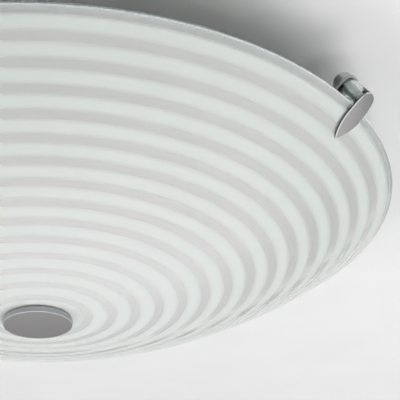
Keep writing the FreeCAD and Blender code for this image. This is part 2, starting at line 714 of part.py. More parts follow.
def lamp_board():
    """Round circuit board on a ledge of the lower shell, with a ring of emitters."""
    level = BODY_TOP - SEAT_GAP
    lip = CAP_LENGTH + SEAT_GAP
    slope = (lamp_seam_radius() - CAP_R) / (BODY_TOP - lip)
    edge = lamp_seam_radius() - LAMP_WALL - slope * 2 * BOARD_THICK - SEAT_GAP
    board = rod(edge, level - BOARD_THICK, level)
    for index in range(CHIP_COUNT):
        chip = Part.makeBox(CHIP_SIZE, CHIP_SIZE, CHIP_HEIGHT,
                            V(edge * CHIP_RING - CHIP_SIZE / 2, -CHIP_SIZE / 2, level))
        board = board.fuse(turn(chip, index * 360.0 / CHIP_COUNT))
    return solid_of(board)


def lamp_globe():
    """Opal diffuser: a thin globe open where it sits on the lower shell."""
    inner = LAMP_R - LAMP_WALL
    base = BODY_TOP + SEAT_GAP
    shell = ball(LAMP_R, 0, LAMP_BALL_Z).cut(ball(inner, 0, LAMP_BALL_Z))
    return solid_of(shell.cut(rod(LAMP_R, LAMP_BALL_Z - LAMP_R, base)))


def lampholder():
    """Moulded holder: wide mouth, narrower back, threaded for the nipple."""
    front = HOLDER_DIAMETER / 2
    back = HOLDER_BACK_DIAMETER / 2
    bore = SHELL_R + SEAT_GAP
    shoulder = front - back
    return turned([(NIPPLE_DIAMETER / 2 + THREAD_GAP, -HOLDER_BACK), (back, -HOLDER_BACK),
                   (back, 0), (front, shoulder), (front, HOLDER_MOUTH), (bore, HOLDER_MOUTH),
                   (bore, -HOLDER_FLOOR), (NIPPLE_BORE / 2, -HOLDER_FLOOR),
                   (NIPPLE_BORE / 2, NIPPLE_IN_HOLDER - HOLDER_BACK + SEAT_GAP),
                   (NIPPLE_DIAMETER / 2 + THREAD_GAP, NIPPLE_IN_HOLDER - HOLDER_BACK + SEAT_GAP)])


def holder_shell():
    """Threaded contact shell inside the holder; the lamp's cap runs in it."""
    return ring(SHELL_R, CAP_R + RUNNING, INSULATOR_HEIGHT, HOLDER_MOUTH - SHELL_SUNK)


def holder_tongue():
    """Springy centre contact: a foot on the holder's floor and a raised end."""
    low = -HOLDER_FLOOR + SEAT_GAP + TONGUE_SHEET / 2
    high = -RUNNING - TONGUE_SHEET / 2
    heel = TONGUE_REACH
    middle = TONGUE_FOOT
    run = [V(heel, 0, low), V(heel - middle, 0, low), V(middle / 2, 0, high),
           V(-middle / 2, 0, high)]
    return solid_of(bent_strip(run, TONGUE_SHEET, TONGUE_SHEET, TONGUE_WIDTH))


def nipple():
    """Threaded tube that joins the holder to its bracket and lets the wires in."""
    top = NIPPLE_IN_HOLDER - HOLDER_BACK
    return ring(NIPPLE_DIAMETER / 2, NIPPLE_BORE / 2, top - NIPPLE_LENGTH, top)


def nipple_nut():
    top = -HOLDER_BACK - BRACKET_SHEET - 2 * SEAT_GAP
    return hex_nut(NIPPLE_NUT_FLATS, NIPPLE_DIAMETER, top - NIPPLE_NUT_HEIGHT, top)


def bracket(side):
    """Angle under the pan: a foot towards the middle and a round-ended upright."""
    foot_z = -PAN_DEPTH - SEAT_GAP - BRACKET_SHEET / 2
    run = [V(BRACKET_X - BRACKET_FOOT, 0, foot_z), V(BRACKET_X, 0, foot_z),
           V(BRACKET_X, 0, -LAMP_DROP)]
    angle = bent_strip(run, BRACKET_BEND, BRACKET_SHEET, BRACKET_WIDTH)
    inside = BRACKET_X - BRACKET_SHEET / 2
    outside = BRACKET_X + BRACKET_SHEET / 2
    angle = angle.fuse(along_x(BRACKET_WIDTH / 2, inside, outside, 0, -LAMP_DROP))
    angle = angle.cut(along_x(NIPPLE_DIAMETER / 2 + HOLE_GAP, inside - BRACKET_SHEET,
                              outside + BRACKET_SHEET, 0, -LAMP_DROP))
    for offset in (-1, 1):
        angle = angle.cut(drill(RIVET_DIAMETER / 2 + SEAT_GAP, BRACKET_RIVET_X,
                                offset * BRACKET_RIVET_SPACING / 2, foot_z, BRACKET_SHEET))
    angle = solid_of(angle)
    if side < 0:
        angle = turn(angle, 180)
    return moved(angle, 0, -side * LAMP_OFFSET)


def bracket_rivet_places():
    return [(side * BRACKET_RIVET_X, -side * LAMP_OFFSET + offset * BRACKET_RIVET_SPACING / 2)
            for side in (-1, 1) for offset in (-1, 1)]


def bracket_rivets():
    return [moved(rivet(BRACKET_SHEET), x, y) for x, y in bracket_rivet_places()]


# ---------------------------------------------------------------- terminals and wires
def poles():
    return [index * POLE_PITCH for index in (-1, 0, 1)]


def terminal_block():
    """Moulded three-pole block with barbed pegs through the pan's floor."""
    low = PAN_FLOOR + SEAT_GAP
    block = Part.makeBox(BLOCK_LENGTH, BLOCK_WIDTH, BLOCK_HEIGHT,
                         V(BLOCK_AT - BLOCK_LENGTH / 2, -BLOCK_WIDTH / 2, low))
    top = low + BLOCK_HEIGHT
    bore = POLE_BORE / 2 + INSERT_WALL + SEAT_GAP
    for y in poles():
        block = block.cut(along_x(bore, BLOCK_AT - BLOCK_LENGTH, BLOCK_AT + BLOCK_LENGTH,
                                  y, POLE_Z))
        for side in (-1, 1):
            x = BLOCK_AT + side * CLAMP_SCREW_SPACING / 2
            shaft = rod(CLAMP_SCREW_DIAMETER / 2 + HOLE_GAP, POLE_Z, top)
            block = block.cut(moved(shaft, x, y))
    peg = PEG_DIAMETER / 2
    under = -PAN_DEPTH - SEAT_GAP
    tip = under - PEG_PAST_PAN
    barbed = turned([(0, low), (peg, low), (peg, under), (peg + PEG_BARB, under),
                     (peg - PEG_BARB, tip), (0, tip)])
    for side in (-1, 1):
        block = block.fuse(moved(barbed, BLOCK_AT, side * POLE_PITCH / 2))
    return solid_of(block)


def terminal_inserts():
    """Brass tubes that the wires are clamped in."""
    inserts = []
    for y in poles():
        start = BLOCK_AT - INSERT_LENGTH / 2
        end = BLOCK_AT + INSERT_LENGTH / 2
        tube = along_x(POLE_BORE / 2 + INSERT_WALL, start, end, y, POLE_Z)
        tube = tube.cut(along_x(POLE_BORE / 2, start, end, y, POLE_Z))
        for side in (-1, 1):
            hole = rod(CLAMP_SCREW_DIAMETER / 2 + THREAD_GAP, POLE_Z, 0)
            tube = tube.cut(moved(hole, BLOCK_AT + side * CLAMP_SCREW_SPACING / 2, y))
        inserts.append(solid_of(tube))
    return inserts


def terminal_screws():
    tip = POLE_Z + WIRE_STACK / 2 + WIRE_DIAMETER / 2 + SEAT_GAP
    top = PAN_FLOOR + SEAT_GAP + BLOCK_HEIGHT - CLAMP_SCREW_SUNK
    screw = rod(CLAMP_SCREW_DIAMETER / 2, tip, top)
    return [moved(screw, BLOCK_AT + side * CLAMP_SCREW_SPACING / 2, y)
            for y in poles() for side in (-1, 1)]


def earth_screw():
    """Thread-forming screw through the tag into the pan."""
    shank = EARTH_SCREW_DIAMETER / 2
    head = STUD_HEAD_DIAMETER / 2
    seat = EARTH_TAG_TOP + SEAT_GAP
    tip = -PAN_DEPTH - EARTH_SCREW_PAST_PAN
    return moved(turned([(0, tip), (shank, tip), (shank, seat), (head, seat),
                         (head, seat + STUD_HEAD_HEIGHT), (0, seat + STUD_HEAD_HEIGHT)]),
                 EARTH_AT, 0)


def earth_tag():
    """Ring tag with a crimp barrel that points at the block."""
    low = PAN_FLOOR + SEAT_GAP
    reach = EARTH_TAG_DIAMETER / 2 + EARTH_TAG_BARREL
    tag = rod(EARTH_TAG_DIAMETER / 2, low, EARTH_TAG_TOP)
    width = WIRE_DIAMETER + 2 * EARTH_TAG_THICK
    tag = tag.fuse(Part.makeBox(reach, width, EARTH_TAG_THICK, V(-reach, -width / 2, low)))
    barrel_z = EARTH_TAG_TOP + WIRE_DIAMETER / 2
    outer = along_x(width / 2, -reach, -reach + EARTH_TAG_BARREL / 2, 0, barrel_z)
    outer = outer.common(Part.makeBox(reach, width, width, V(-reach, -width / 2, low)))
    tag = tag.fuse(outer)
    tag = tag.cut(along_x(WIRE_DIAMETER / 2 + SEAT_GAP, -2 * reach, -EARTH_TAG_DIAMETER / 2,
                          0, barrel_z))
    tag = tag.cut(rod(EARTH_SCREW_DIAMETER / 2 + HOLE_GAP, low, EARTH_TAG_TOP))
    return moved(solid_of(tag), EARTH_AT, 0)


def earth_wire():
    """From the middle pole down to the earth tag."""
    start = BLOCK_AT + CLAMP_SCREW_SPACING / 2
    tag_z = EARTH_TAG_TOP + WIRE_DIAMETER / 2
    tag_end = EARTH_AT - EARTH_TAG_DIAMETER / 2 - EARTH_TAG_BARREL / 2
    high = POLE_Z - WIRE_STACK / 2
    block_end = BLOCK_AT + BLOCK_LENGTH / 2
    points = [V(start, 0, high), V(block_end + EARTH_WIRE_STRAIGHT, 0, high),
              V(tag_end - EARTH_TAG_BARREL / 2 - EARTH_WIRE_STRAIGHT, 0, tag_z),
              V(tag_end, 0, tag_z)]
    return wire_tube(points, WIRE_DIAMETER, WIRE_DIAMETER)


def lamp_wires(pole_side):
    """The two wires of one pole (live -1, neutral +1): one to each lampholder."""
    wires = []
    pole_y = pole_side * POLE_PITCH
    start = BLOCK_AT + CLAMP_SCREW_SPACING / 2
    inside = BRACKET_FACE - NIPPLE_IN_HOLDER / 2
    near_y = -LAMP_OFFSET + pole_side * WIRE_PAIR / 2
    high = POLE_Z + WIRE_STACK / 2
    wires.append(wire_tube(
        [V(start, pole_y, high), V(WIRE_LEAVE, pole_y, high), V(WIRE_HOLE_AT, near_y, high),
         V(WIRE_HOLE_AT, near_y, -LAMP_DROP), V(inside, near_y, -LAMP_DROP)],
        WIRE_BEND, WIRE_DIAMETER))
    far_y = LAMP_OFFSET - pole_side * WIRE_PAIR / 2
    loop = WIRE_LOOP_INNER if pole_side > 0 else WIRE_LOOP_OUTER
    low = POLE_Z - WIRE_STACK / 2
    wires.append(wire_tube(
        [V(start, pole_y, low), V(loop, pole_y, low), V(loop, far_y, low),
         V(-WIRE_HOLE_AT, far_y, low), V(-WIRE_HOLE_AT, far_y, -LAMP_DROP),
         V(-inside, far_y, -LAMP_DROP)],
        WIRE_BEND, WIRE_DIAMETER))
    return wires


def wire_grommets():
    """Rubber rings where the wires pass the pan."""
    bore = GROMMET_BORE / 2
    wall = bore + GROMMET_WALL
    lip = wall + GROMMET_LIP
    top = PAN_FLOOR + SEAT_GAP
    under = -PAN_DEPTH - SEAT_GAP
    one = turned([(bore, under - GROMMET_LIP), (lip, under - GROMMET_LIP), (lip, under),
                  (wall, under), (wall, top), (lip, top), (lip, top + GROMMET_LIP),
                  (bore, top + GROMMET_LIP)])
    return [moved(one, side * WIRE_HOLE_AT, -side * LAMP_OFFSET) for side in (-1, 1)]


# ---------------------------------------------------------------- the whole light
def light():
    """Every piece by node name; a list is a group of identical pieces."""
    nodes = {
        "ceiling_strap": ceiling_strap(),
        "cable_bush": cable_bush(),
        "strap_studs": strap_studs(),
        "strap_lock_nuts": strap_lock_nuts(),
        "pan": pan(),
        "pan_washers": pan_washers(),
        "pan_cap_nuts": pan_cap_nuts(),
        "arm_rivets": arm_rivets(),
        "glass_shade": shade(),
        "centre_disc": centre_disc(),
        "centre_gasket": centre_gasket(),
        "centre_seal": centre_seal(),
        "centre_washer": centre_washer(),
        "centre_nut": centre_nut(),
        "terminal_block": terminal_block(),
        "terminal_inserts": terminal_inserts(),
        "terminal_screws": terminal_screws(),
        "earth_screw": earth_screw(),
        "earth_tag": earth_tag(),
        "earth_wire": earth_wire(),
        "live_wires": lamp_wires(-1),
        "neutral_wires": lamp_wires(1),
        "wire_grommets": wire_grommets(),
        "bracket_rivets": bracket_rivets(),
        "lampholder_nipples": [on_lamp_axis(nipple(), side) for side in (-1, 1)],
        "nipple_nuts": [on_lamp_axis(nipple_nut(), side) for side in (-1, 1)],
        "holder_shells": [on_lamp_axis(holder_shell(), side) for side in (-1, 1)],
        "holder_tongues": [on_lamp_axis(holder_tongue(), side) for side in (-1, 1)],
    }
    clip_pieces = {"leaf": leaf(), "clip_rod": clip_rod(), "clip_sleeve": clip_sleeve(),
                   "clip_washer": clip_washer(), "clip_nut": clip_nut()}
    one_arm = arm()
    for number, angle in enumerate(CLIP_ANGLES, start=1):
        nodes["arm_%d" % number] = turn(one_arm, angle)
        for name, piece in clip_pieces.items():
            nodes["%s_%d" % (name, number)] = on_clip(piece, angle)
    lamp_pieces = {"contact": lamp_contact(), "cap": lamp_cap(), "body": lamp_body(),
                   "board": lamp_board(), "globe": lamp_globe()}
    for number, side in ((1, -1), (2, 1)):
        nodes["bracket_%d" % number] = bracket(side)
        nodes["lampholder_%d" % number] = on_lamp_axis(lampholder(), side)
        for name, piece in lamp_pieces.items():
            nodes["lamp_%d_%s" % (number, name)] = on_lamp_axis(piece, side)
    return nodes


def main():
    os.makedirs("parts", exist_ok=True)
    for name, piece in light().items():
        shape = Part.makeCompound(piece) if isinstance(piece, list) else piece
        shape.exportStep("parts/%s.step" % name)


main()
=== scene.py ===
import json
import math

import bmesh
import bpy
from mathutils import Matrix, Vector


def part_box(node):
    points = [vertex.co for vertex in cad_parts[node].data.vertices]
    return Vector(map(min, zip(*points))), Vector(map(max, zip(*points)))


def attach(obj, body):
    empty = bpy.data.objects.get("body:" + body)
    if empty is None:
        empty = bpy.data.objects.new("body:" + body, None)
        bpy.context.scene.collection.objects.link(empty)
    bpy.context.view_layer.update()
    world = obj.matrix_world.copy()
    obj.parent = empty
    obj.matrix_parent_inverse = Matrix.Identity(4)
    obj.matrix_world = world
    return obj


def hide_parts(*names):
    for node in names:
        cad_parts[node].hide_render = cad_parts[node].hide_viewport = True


# Looks of a flush ceiling light: domed ring-frosted glass on three leaf-headed clips, a satin
# disc at its middle, a white pan, a strap and two screw lamps inside.
# Lengths of the light are millimetres and become metres in the mesh. The surroundings are in
# metres.

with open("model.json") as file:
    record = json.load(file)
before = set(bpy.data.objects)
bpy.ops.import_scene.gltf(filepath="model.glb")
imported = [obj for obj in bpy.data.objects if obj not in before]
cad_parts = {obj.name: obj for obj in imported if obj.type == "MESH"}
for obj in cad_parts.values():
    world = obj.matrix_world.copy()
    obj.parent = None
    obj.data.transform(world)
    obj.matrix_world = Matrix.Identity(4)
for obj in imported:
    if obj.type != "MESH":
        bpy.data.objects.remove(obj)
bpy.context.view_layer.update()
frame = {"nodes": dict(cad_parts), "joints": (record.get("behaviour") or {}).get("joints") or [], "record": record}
nodes = frame["nodes"]

MM = 0.001
UP = Vector((0, 0, 1))

# ---------------------------------------------------------------- sizes
# gaps between pieces
SEAT_GAP = 0.05               # faces that lie on each other
RUNNING_GAP = 0.1             # round what passes through a piece
TAB_GAP = 0.1                 # sleeve or washer to the arm's tab
NUT_GAP = 0.06                # nut and thread, each side
LOCK_NUT_GAP = 0.05
NEAR_AXIS = 0.01              # radius at which a turned face stops, short of its axis

# shade, a cap of a ball
SHADE_R = 200.0
SHADE_DEPTH = 66.0
SHADE_WALL = 4.0
SHADE_ARRIS = 0.7
SHADE_HOLE_R = 4.0
SHADE_STEPS = 256             # round the shade
SHADE_ROWS = 40               # from hole to rim, on each side
RIM_DROP = 40.0               # ceiling to the plane of the rim
BALL_R = (SHADE_R ** 2 + SHADE_DEPTH ** 2) / (2 * SHADE_DEPTH)
BALL_Z = BALL_R - SHADE_DEPTH - RIM_DROP
RIM_SLOPE = math.asin(SHADE_R / BALL_R)

# finish of the shade, with distances measured along the glass from its middle
RING_PITCH = 13.228           # one frosted and one clear ring
RING_FROSTED = 6.843
RING_START = 209.47           # outer edge of the outermost frosted ring
RING_BLUR = 3.6               # width over which a ring's edge fades
PAINTED_LIGHT_FULL_TO = 50.0       # the middle's lighter colours, which are painted light, reach this far
PAINTED_LIGHT_GONE_FROM = 185.0       # the outer colours start here, where the painted light has faded out
# ring colours; the lighter ones at the centre are painted light
FROSTED = (0.705, 0.75, 0.725)
FROSTED_LIT_AT_CENTRE = (0.76, 0.785, 0.77)
CLEAR = (0.70, 0.715, 0.695)
CLEAR_LIT_AT_CENTRE = (0.85, 0.855, 0.85)
RIM_BAND = (0.93, 0.96, 0.945)
CLOUDED = (0.985, 0.985, 0.985)
UNCLOUDED = (1, 1, 1)
FROSTED_ROUGHNESS = 0.5
CLEAR_ROUGHNESS = 0.24
RING_SEEN_THROUGH = 0.25
RIM_SEEN_THROUGH = 0.68

# centre disc
DISC_THICK = 3.2
DISC_EDGE = 0.45
DISC_EDGE_STEPS = 4
DISC_STUD_R = 3.0
DISC_STUD_CHAMFER = 0.5
DISC_STUD_PLAIN = 0.5         # stretch without thread, at the disc
DISC_STEPS = 128
DISC_HIGHLIGHT_ROWS = (2, 3)     # middle of the lower edge, with its painted highlight; row 0 is the face
DISC_SIDE_ROWS = range(4, 10)      # from there up to the end of the upper edge, with the side's painted reflection

# clips, with heights up the rod from the leaf's back
ROD_R = 3.0
ROD_PITCH = 1.0
ROD_THREAD = 0.55             # depth of the thread
ROD_ROW = 0.1                 # height of a row of faces
ROD_BOTTOM = 0.02
ROD_TOP = 21.85
ROD_PLAIN = 0.3               # stretch without thread, at the leaf
ROD_CHAMFER = 0.6
SPIGOT_R = 2.0
SPIGOT_DEPTH = 0.8
SPIGOT_CHAMFER = 0.1          # off its radius and its length
LEAF_HEEL = 5.2               # round end, about the rod
LEAF_REACH = 24.2             # rod to the point
LEAF_WIDTH = 12.3
LEAF_WIDEST_AT = 9.4
LEAF_THICK = 1.7
LEAF_CROWN_R = 130.0
LEAF_BEVEL = 0.42
LEAF_BEVEL_HEIGHT = 0.8 * LEAF_BEVEL
LEAF_BACK_EDGE = 0.12
LEAF_TURN = math.radians(4.6)
LEAF_FLANK_STEPS = 24
LEAF_END_STEPS = 12
LEAF_CROWN_SHARES = (0.96, 0.85, 0.7, 0.52, 0.34, 0.17, 0.05)
LEAF_WALL_ROW = 1             # row of faces, with row 0 at the back
LEAF_BEVEL_ROW = 2
LEAF_TO_TAB = 13.6            # leaf's back to the arm's tab
TAB_SHEET = 1.5
SLEEVE_R = 5.1
SLEEVE_EDGE = 0.15
CLIP_WASHER_R = 6.2
CLIP_WASHER_THICK = 0.8
CLIP_WASHER_EDGE = 0.2
CLIP_NUT_FLATS = 10.0
CLIP_NUT_HEIGHT = 4.8
CLIP_NUT_TURN = math.radians(44)
CLIP_NUT_FAR_SLOPE = 58       # degrees, of the chamfer at the rod's end
CLIP_STEPS = 64

# lamps, with heights from the lamp's end contact
LAMP_R = 30.0
LAMP_LENGTH = 106.0
LAMP_BALL_AT = LAMP_LENGTH - LAMP_R
LAMP_SEAM_AT = 61.0           # where the shell meets the diffuser
LAMP_WALL = 1.2
LAMP_NECK_AT = 6.6            # where the shell's neck ends, inside the cap
LAMP_SHELL_EDGE = 0.5
LAMP_STEPS = 128
LAMP_ROWS = 28
LAMP_POLE_ANGLE = 0.001       # at which the diffuser's rows stop, short of the pole
CAP_R = 13.1
CAP_BOTTOM = 5.0
CAP_TOP = 25.0
CAP_SHEET = 0.45
CAP_EDGE = 0.3
CAP_STEPS = 96
CAP_PITCH = 3.629
CAP_THREAD = 0.9
CAP_ROW = 0.3
CAP_THREAD_SPAN = (4.0, 22.0)

# lampholders, with the lamp's heights
HOLDER_R = 20.0
HOLDER_INSIDE_R = 13.75
HOLDER_MOUTH = 24.5
HOLDER_FLOOR = -4.0
HOLDER_BACK = -14.0
HOLDER_BACK_R = 16.0
HOLDER_CONE = (0.0, 4.0)      # stretch over which the back widens to the body
HOLDER_EDGE = 0.8
HOLDER_STEPS = 96
NIPPLE_R = 5.0
NIPPLE_BORE_R = 3.5
NIPPLE_TOP = -8.0
NIPPLE_BOTTOM = -24.0
NIPPLE_CHAMFER = 0.4
NIPPLE_LEAD = 0.5             # height of the outer chamfer at both ends
NIPPLE_PITCH = 1.0
NIPPLE_THREAD = 0.5
NIPPLE_ROW = 0.12
NIPPLE_NUT_FLATS = 14.0
NIPPLE_NUT_SPAN = (-18.6, -15.6)

# fasteners; a slot is its length, width and depth
SMALL_SCREW_R = 2.0
SMALL_SCREW_PITCH = 0.7
SMALL_HEAD_R = 3.75
SMALL_HEAD_HEIGHT = 2.6
STUD_AT = 85.0                # strap's stud, from the middle
STUD_HEAD_EDGE = 0.65
STUD_SLOT = (4.2, 0.9, 1.5)
STUD_SLOT_TURN = 0.2          # radians
LOCK_NUT_FLATS = 7.0
CENTRE_NUT_FLATS = 10.0
CLAMP_SCREW_R = 1.3
CLAMP_SCREW_PITCH = 0.5
CLAMP_SCREW_THREAD = 0.25
CLAMP_SCREW_ROW = 0.08
CLAMP_SCREW_TIP = 0.3
CLAMP_SCREW_EDGE = (0.15, 0.2)     # radius and height
CLAMP_SCREW_SLOT = (4.0, 0.55, 0.8)
CLAMP_SCREW_TURN = (0.4, 0.7)      # radians for each millimetre along X and Y
EARTH_HEAD_EDGE = 0.5
EARTH_SLOT = (8.4, 1.0, 1.2)
EARTH_SLOT_TURN = 0.5         # radians
NUT_STEPS = 48
NUT_SLOPE = 30                # degrees, of the chamfer of a nut's face
NUT_FACE_EDGE = 0.1           # flats to the rim of the face
NUT_COUNTERSINK = 0.3
THREAD_FLAT = 1 / 6           # share of a pitch that is flat at the crest, and at the root
STRIPE_HALF = 0.45            # half the width of the earth wire's stripe

# surroundings, in metres
FLOOR_Z = -2.4
FLOOR_HALF = 30.0
FLOOR_COLOUR = (0.80, 0.80, 0.80)
FLOOR_GLOW = (1.2, 0.66)      # near and far, to gloss and glass
FLOOR_GLOW_AT = (3.4, 6.8)
FLOOR_GLOW_SEEN = 1.12        # at least, to the camera
CEILING_Z = 0.0004
CEILING_R = 28.0
CEILING_OPEN_R = 0.13
CEILING_STEPS = 64
CEILING_COLOUR = (0.88, 0.88, 0.88)
WORLD_LIGHT = 0.06
WORLD_SEEN = 0.97             # to the camera, gloss and glass
LIGHT_AIM = (0, 0, -0.06)
# name, place, diameter, watts; one above shows the hidden top
STUDIO_LIGHTS = (("right", (2.0, 0.6, -1.3), 2.0, 8.2),
                 ("right_below", (0.816, 0.38, -1.609), 1.0, 11.4),
                 ("near_below", (0.636, -0.908, -1.468), 1.0, 8.2),
                 ("left", (-1.9, -0.3, -1.8), 1.6, 22.0),
                 ("above", (-1.3, 1.5, 1.5), 1.6, 22.0))
PAN_LIGHT = ("into_pan", (0.0, 0.0, 0.9), 0.22, 0.18)
PAN_LIGHT_SPREAD = math.radians(19)

# the photograph's camera, in millimetres and degrees
CAMERA_AT = (99.9, -693.1, -405.6)
CAMERA_YAW = -0.744
CAMERA_PITCH = 28.086
CAMERA_ROLL = -1.803
CAMERA_LENS = 123.70
CAMERA_SENSOR = 36.0


# ---------------------------------------------------------------- meshes
def circle(radius, height, steps):
    return [(radius * math.cos(k * math.tau / steps), radius * math.sin(k * math.tau / steps),
             height) for k in range(steps)]


def hexagon_ring(flats, height, drop, steps):
    """Hexagon's outline, its corners set back along Z as a turned chamfer leaves them."""
    ring = []
    for k in range(steps):
        angle = k * math.tau / steps
        radius = flats / 2 / math.cos(angle % (math.pi / 3) - math.pi / 6)
        back = drop * (radius - flats / 2)
        ring.append((radius * math.cos(angle), radius * math.sin(angle), height + back))
    return ring


def eased(outline, radius, closed=True, steps=3):
    """An outline of (radius, height) points with its corners rounded.

    A rounding takes no more than 0.45 of the shorter side at its corner.
    """
    points = [Vector(p) for p in outline]
    result = []
    for i, corner in enumerate(points):
        if not closed and i in (0, len(points) - 1):
            result.append(corner)
            continue
        back = points[i - 1] - corner
        ahead = points[(i + 1) % len(points)] - corner
        half = back.angle(ahead) / 2
        longest = 0.45 * min(back.length, ahead.length)
        reach = min(radius / math.tan(half), longest)
        middle = (back.normalized() + ahead.normalized()).normalized()
        centre = corner + middle * (reach / math.cos(half))
        first = corner + back.normalized() * reach - centre
        last = corner + ahead.normalized() * reach - centre
        sweep = first.angle(last)
        for k in range(steps + 1):
            share = k / steps
            spoke = first * math.sin((1 - share) * sweep) + last * math.sin(share * sweep)
            result.append(centre + spoke / math.sin(sweep))
    return result


def loft(name, rings, material, placement, sharp, around=False):
    """Closed mesh through rings of equal length; around joins the last ring to the first.

    An edge that bends by more than sharp degrees stays sharp.
    """
    count = len(rings[0])
    place = placement or Matrix.Identity(4)
    verts = [place @ (Vector(p) * MM) for ring in rings for p in ring]
    faces = []
    pairs = list(zip(range(len(rings)), range(1, len(rings))))
    if around:
        pairs.append((len(rings) - 1, 0))
    for low, high in pairs:
        for k in range(count):
            nxt = (k + 1) % count
            faces.append((low * count + k, low * count + nxt,
                          high * count + nxt, high * count + k))
    if not around:
        for ring, turn in ((0, -1), (len(rings) - 1, 1)):
            hub = len(verts)
            rim = verts[ring * count:(ring + 1) * count]
            verts.append(sum(rim, Vector()) / count)
            for k in range(count):
                edge = (ring * count + k, ring * count + (k + 1) % count)
                faces.append((hub, *edge[::turn]))
    mesh = bpy.data.meshes.new(name)
    mesh.from_pydata(verts, [], faces)
    mesh.validate()
    mesh.shade_smooth()
    mesh.set_sharp_from_angle(angle=math.radians(sharp))
    mesh.materials.append(material)
    piece = bpy.data.objects.new(name, mesh)
    bpy.context.scene.collection.objects.link(piece)
    return piece


def lathe(name, outline, material, steps, placement=None, sharp=35):
    """A closed outline of (radius, height) points turned about Z."""
    rings = [circle(radius, height, steps) for radius, height in outline]
    return loft(name, rings, material, placement, sharp, around=True)


def vee(phase):
    """Depth of a cut thread through one pitch, from 0 at the crest to 1 at the root."""
    off_root = abs(2 * phase - 1)
    return min(1.0, max(0.0, (1 - THREAD_FLAT - off_root) / (1 - 2 * THREAD_FLAT)))


def wave(phase):
    """Depth of a rolled sheet thread through one pitch."""
    return 0.5 - 0.5 * math.cos(phase * math.tau)


def threaded(name, outline, pitch, depth, span, material, placement=None, steps=48,
             around=False, groove=vee):
    """Turned body along Z whose widest stretch within span carries a screw thread."""
    rings = []
    low, high = span
    widest = max(radius for radius, height in outline if low <= height <= high)
    for radius, height in outline:
        fade = max(0.0, min(1.0, (height - low) / pitch, (high - height) / pitch))
        if radius < widest - 0.01:
            fade = 0.0
        ring = []
        for k in range(steps):
            angle = k * math.tau / steps
            cut = depth * fade * groove((height / pitch - k / steps) % 1.0)
            ring.append(((radius - cut) * math.cos(angle), (radius - cut) * math.sin(angle),
                         height))
        rings.append(ring)
    return loft(name, rings, material, placement, 60, around)


def stack(radius, low, high, step):
    """Evenly spaced points up a straight side, close enough for a thread."""
    count = max(1, round((high - low) / step))
    return [(radius, low + (high - low) * k / count) for k in range(count + 1)]


def hex_nut(name, flats, bore, span, material, placement=None, far_slope=NUT_SLOPE):
    """Hexagon nut over a span of heights, chamfered at both faces, with a countersunk bore."""
    low, high = span
    wide_bore = bore + NUT_COUNTERSINK
    rim = flats / 2 - NUT_FACE_EDGE
    drop = math.tan(math.radians(NUT_SLOPE))
    far_drop = math.tan(math.radians(far_slope))
    rings = [circle(wide_bore, low, NUT_STEPS),
             circle(rim, low, NUT_STEPS),
             hexagon_ring(flats, low, drop, NUT_STEPS),
             hexagon_ring(flats, high, -far_drop, NUT_STEPS),
             circle(rim, high, NUT_STEPS),
             circle(wide_bore, high, NUT_STEPS),
             circle(bore, high - NUT_COUNTERSINK, NUT_STEPS),
             circle(bore, low + NUT_COUNTERSINK, NUT_STEPS)]
    return loft(name, rings, material, placement, 20, around=True)


def gather(name, pieces):
    """One piece out of several, as the frame holds repeated fasteners in one node."""
    whole = bmesh.new()
    for piece in pieces:
        whole.from_mesh(piece.data)
    first = pieces[0]
    whole.to_mesh(first.data)
    whole.free()
    for piece in pieces[1:]:
        bpy.data.objects.remove(piece)
    first.name = name
    return first


def sawn(piece, centre, slot, turn):
    """A slot cut across a screw head; centre lies on the head's top."""
    length, width, depth = slot
    corners = [(x, y, z) for x in (-length / 2, length / 2) for y in (-width / 2, width / 2)
               for z in (-depth, depth)]
    faces = [(0, 1, 3, 2), (4, 6, 7, 5), (0, 4, 5, 1), (2, 3, 7, 6), (0, 2, 6, 4), (1, 5, 7, 3)]
    place = Matrix.Translation(Vector(centre) * MM) @ Matrix.Rotation(turn, 4, "Z")
    mesh = bpy.data.meshes.new("cutter")
    mesh.from_pydata([place @ (Vector(corner) * MM) for corner in corners], [], faces)
    cutter = bpy.data.objects.new("cutter", mesh)
    bpy.context.scene.collection.objects.link(cutter)
    cut = piece.modifiers.new("slot", "BOOLEAN")
    cut.object = cutter
    cut.solver = "EXACT"
    view = bpy.context.evaluated_depsgraph_get()
    result = bpy.data.meshes.new_from_object(piece.evaluated_get(view))
    piece.modifiers.clear()
    piece.data = result
    result.set_sharp_from_angle(angle=math.radians(50))
    bpy.data.objects.remove(cutter)
    return piece


def edged(piece, material, rows, steps):
    """Gives whole rows of faces round a lofted piece another material."""
    piece.data.materials.append(material)
    for face in piece.data.polygons:
        if face.index // steps in rows:
            face.material_index = len(piece.data.materials) - 1


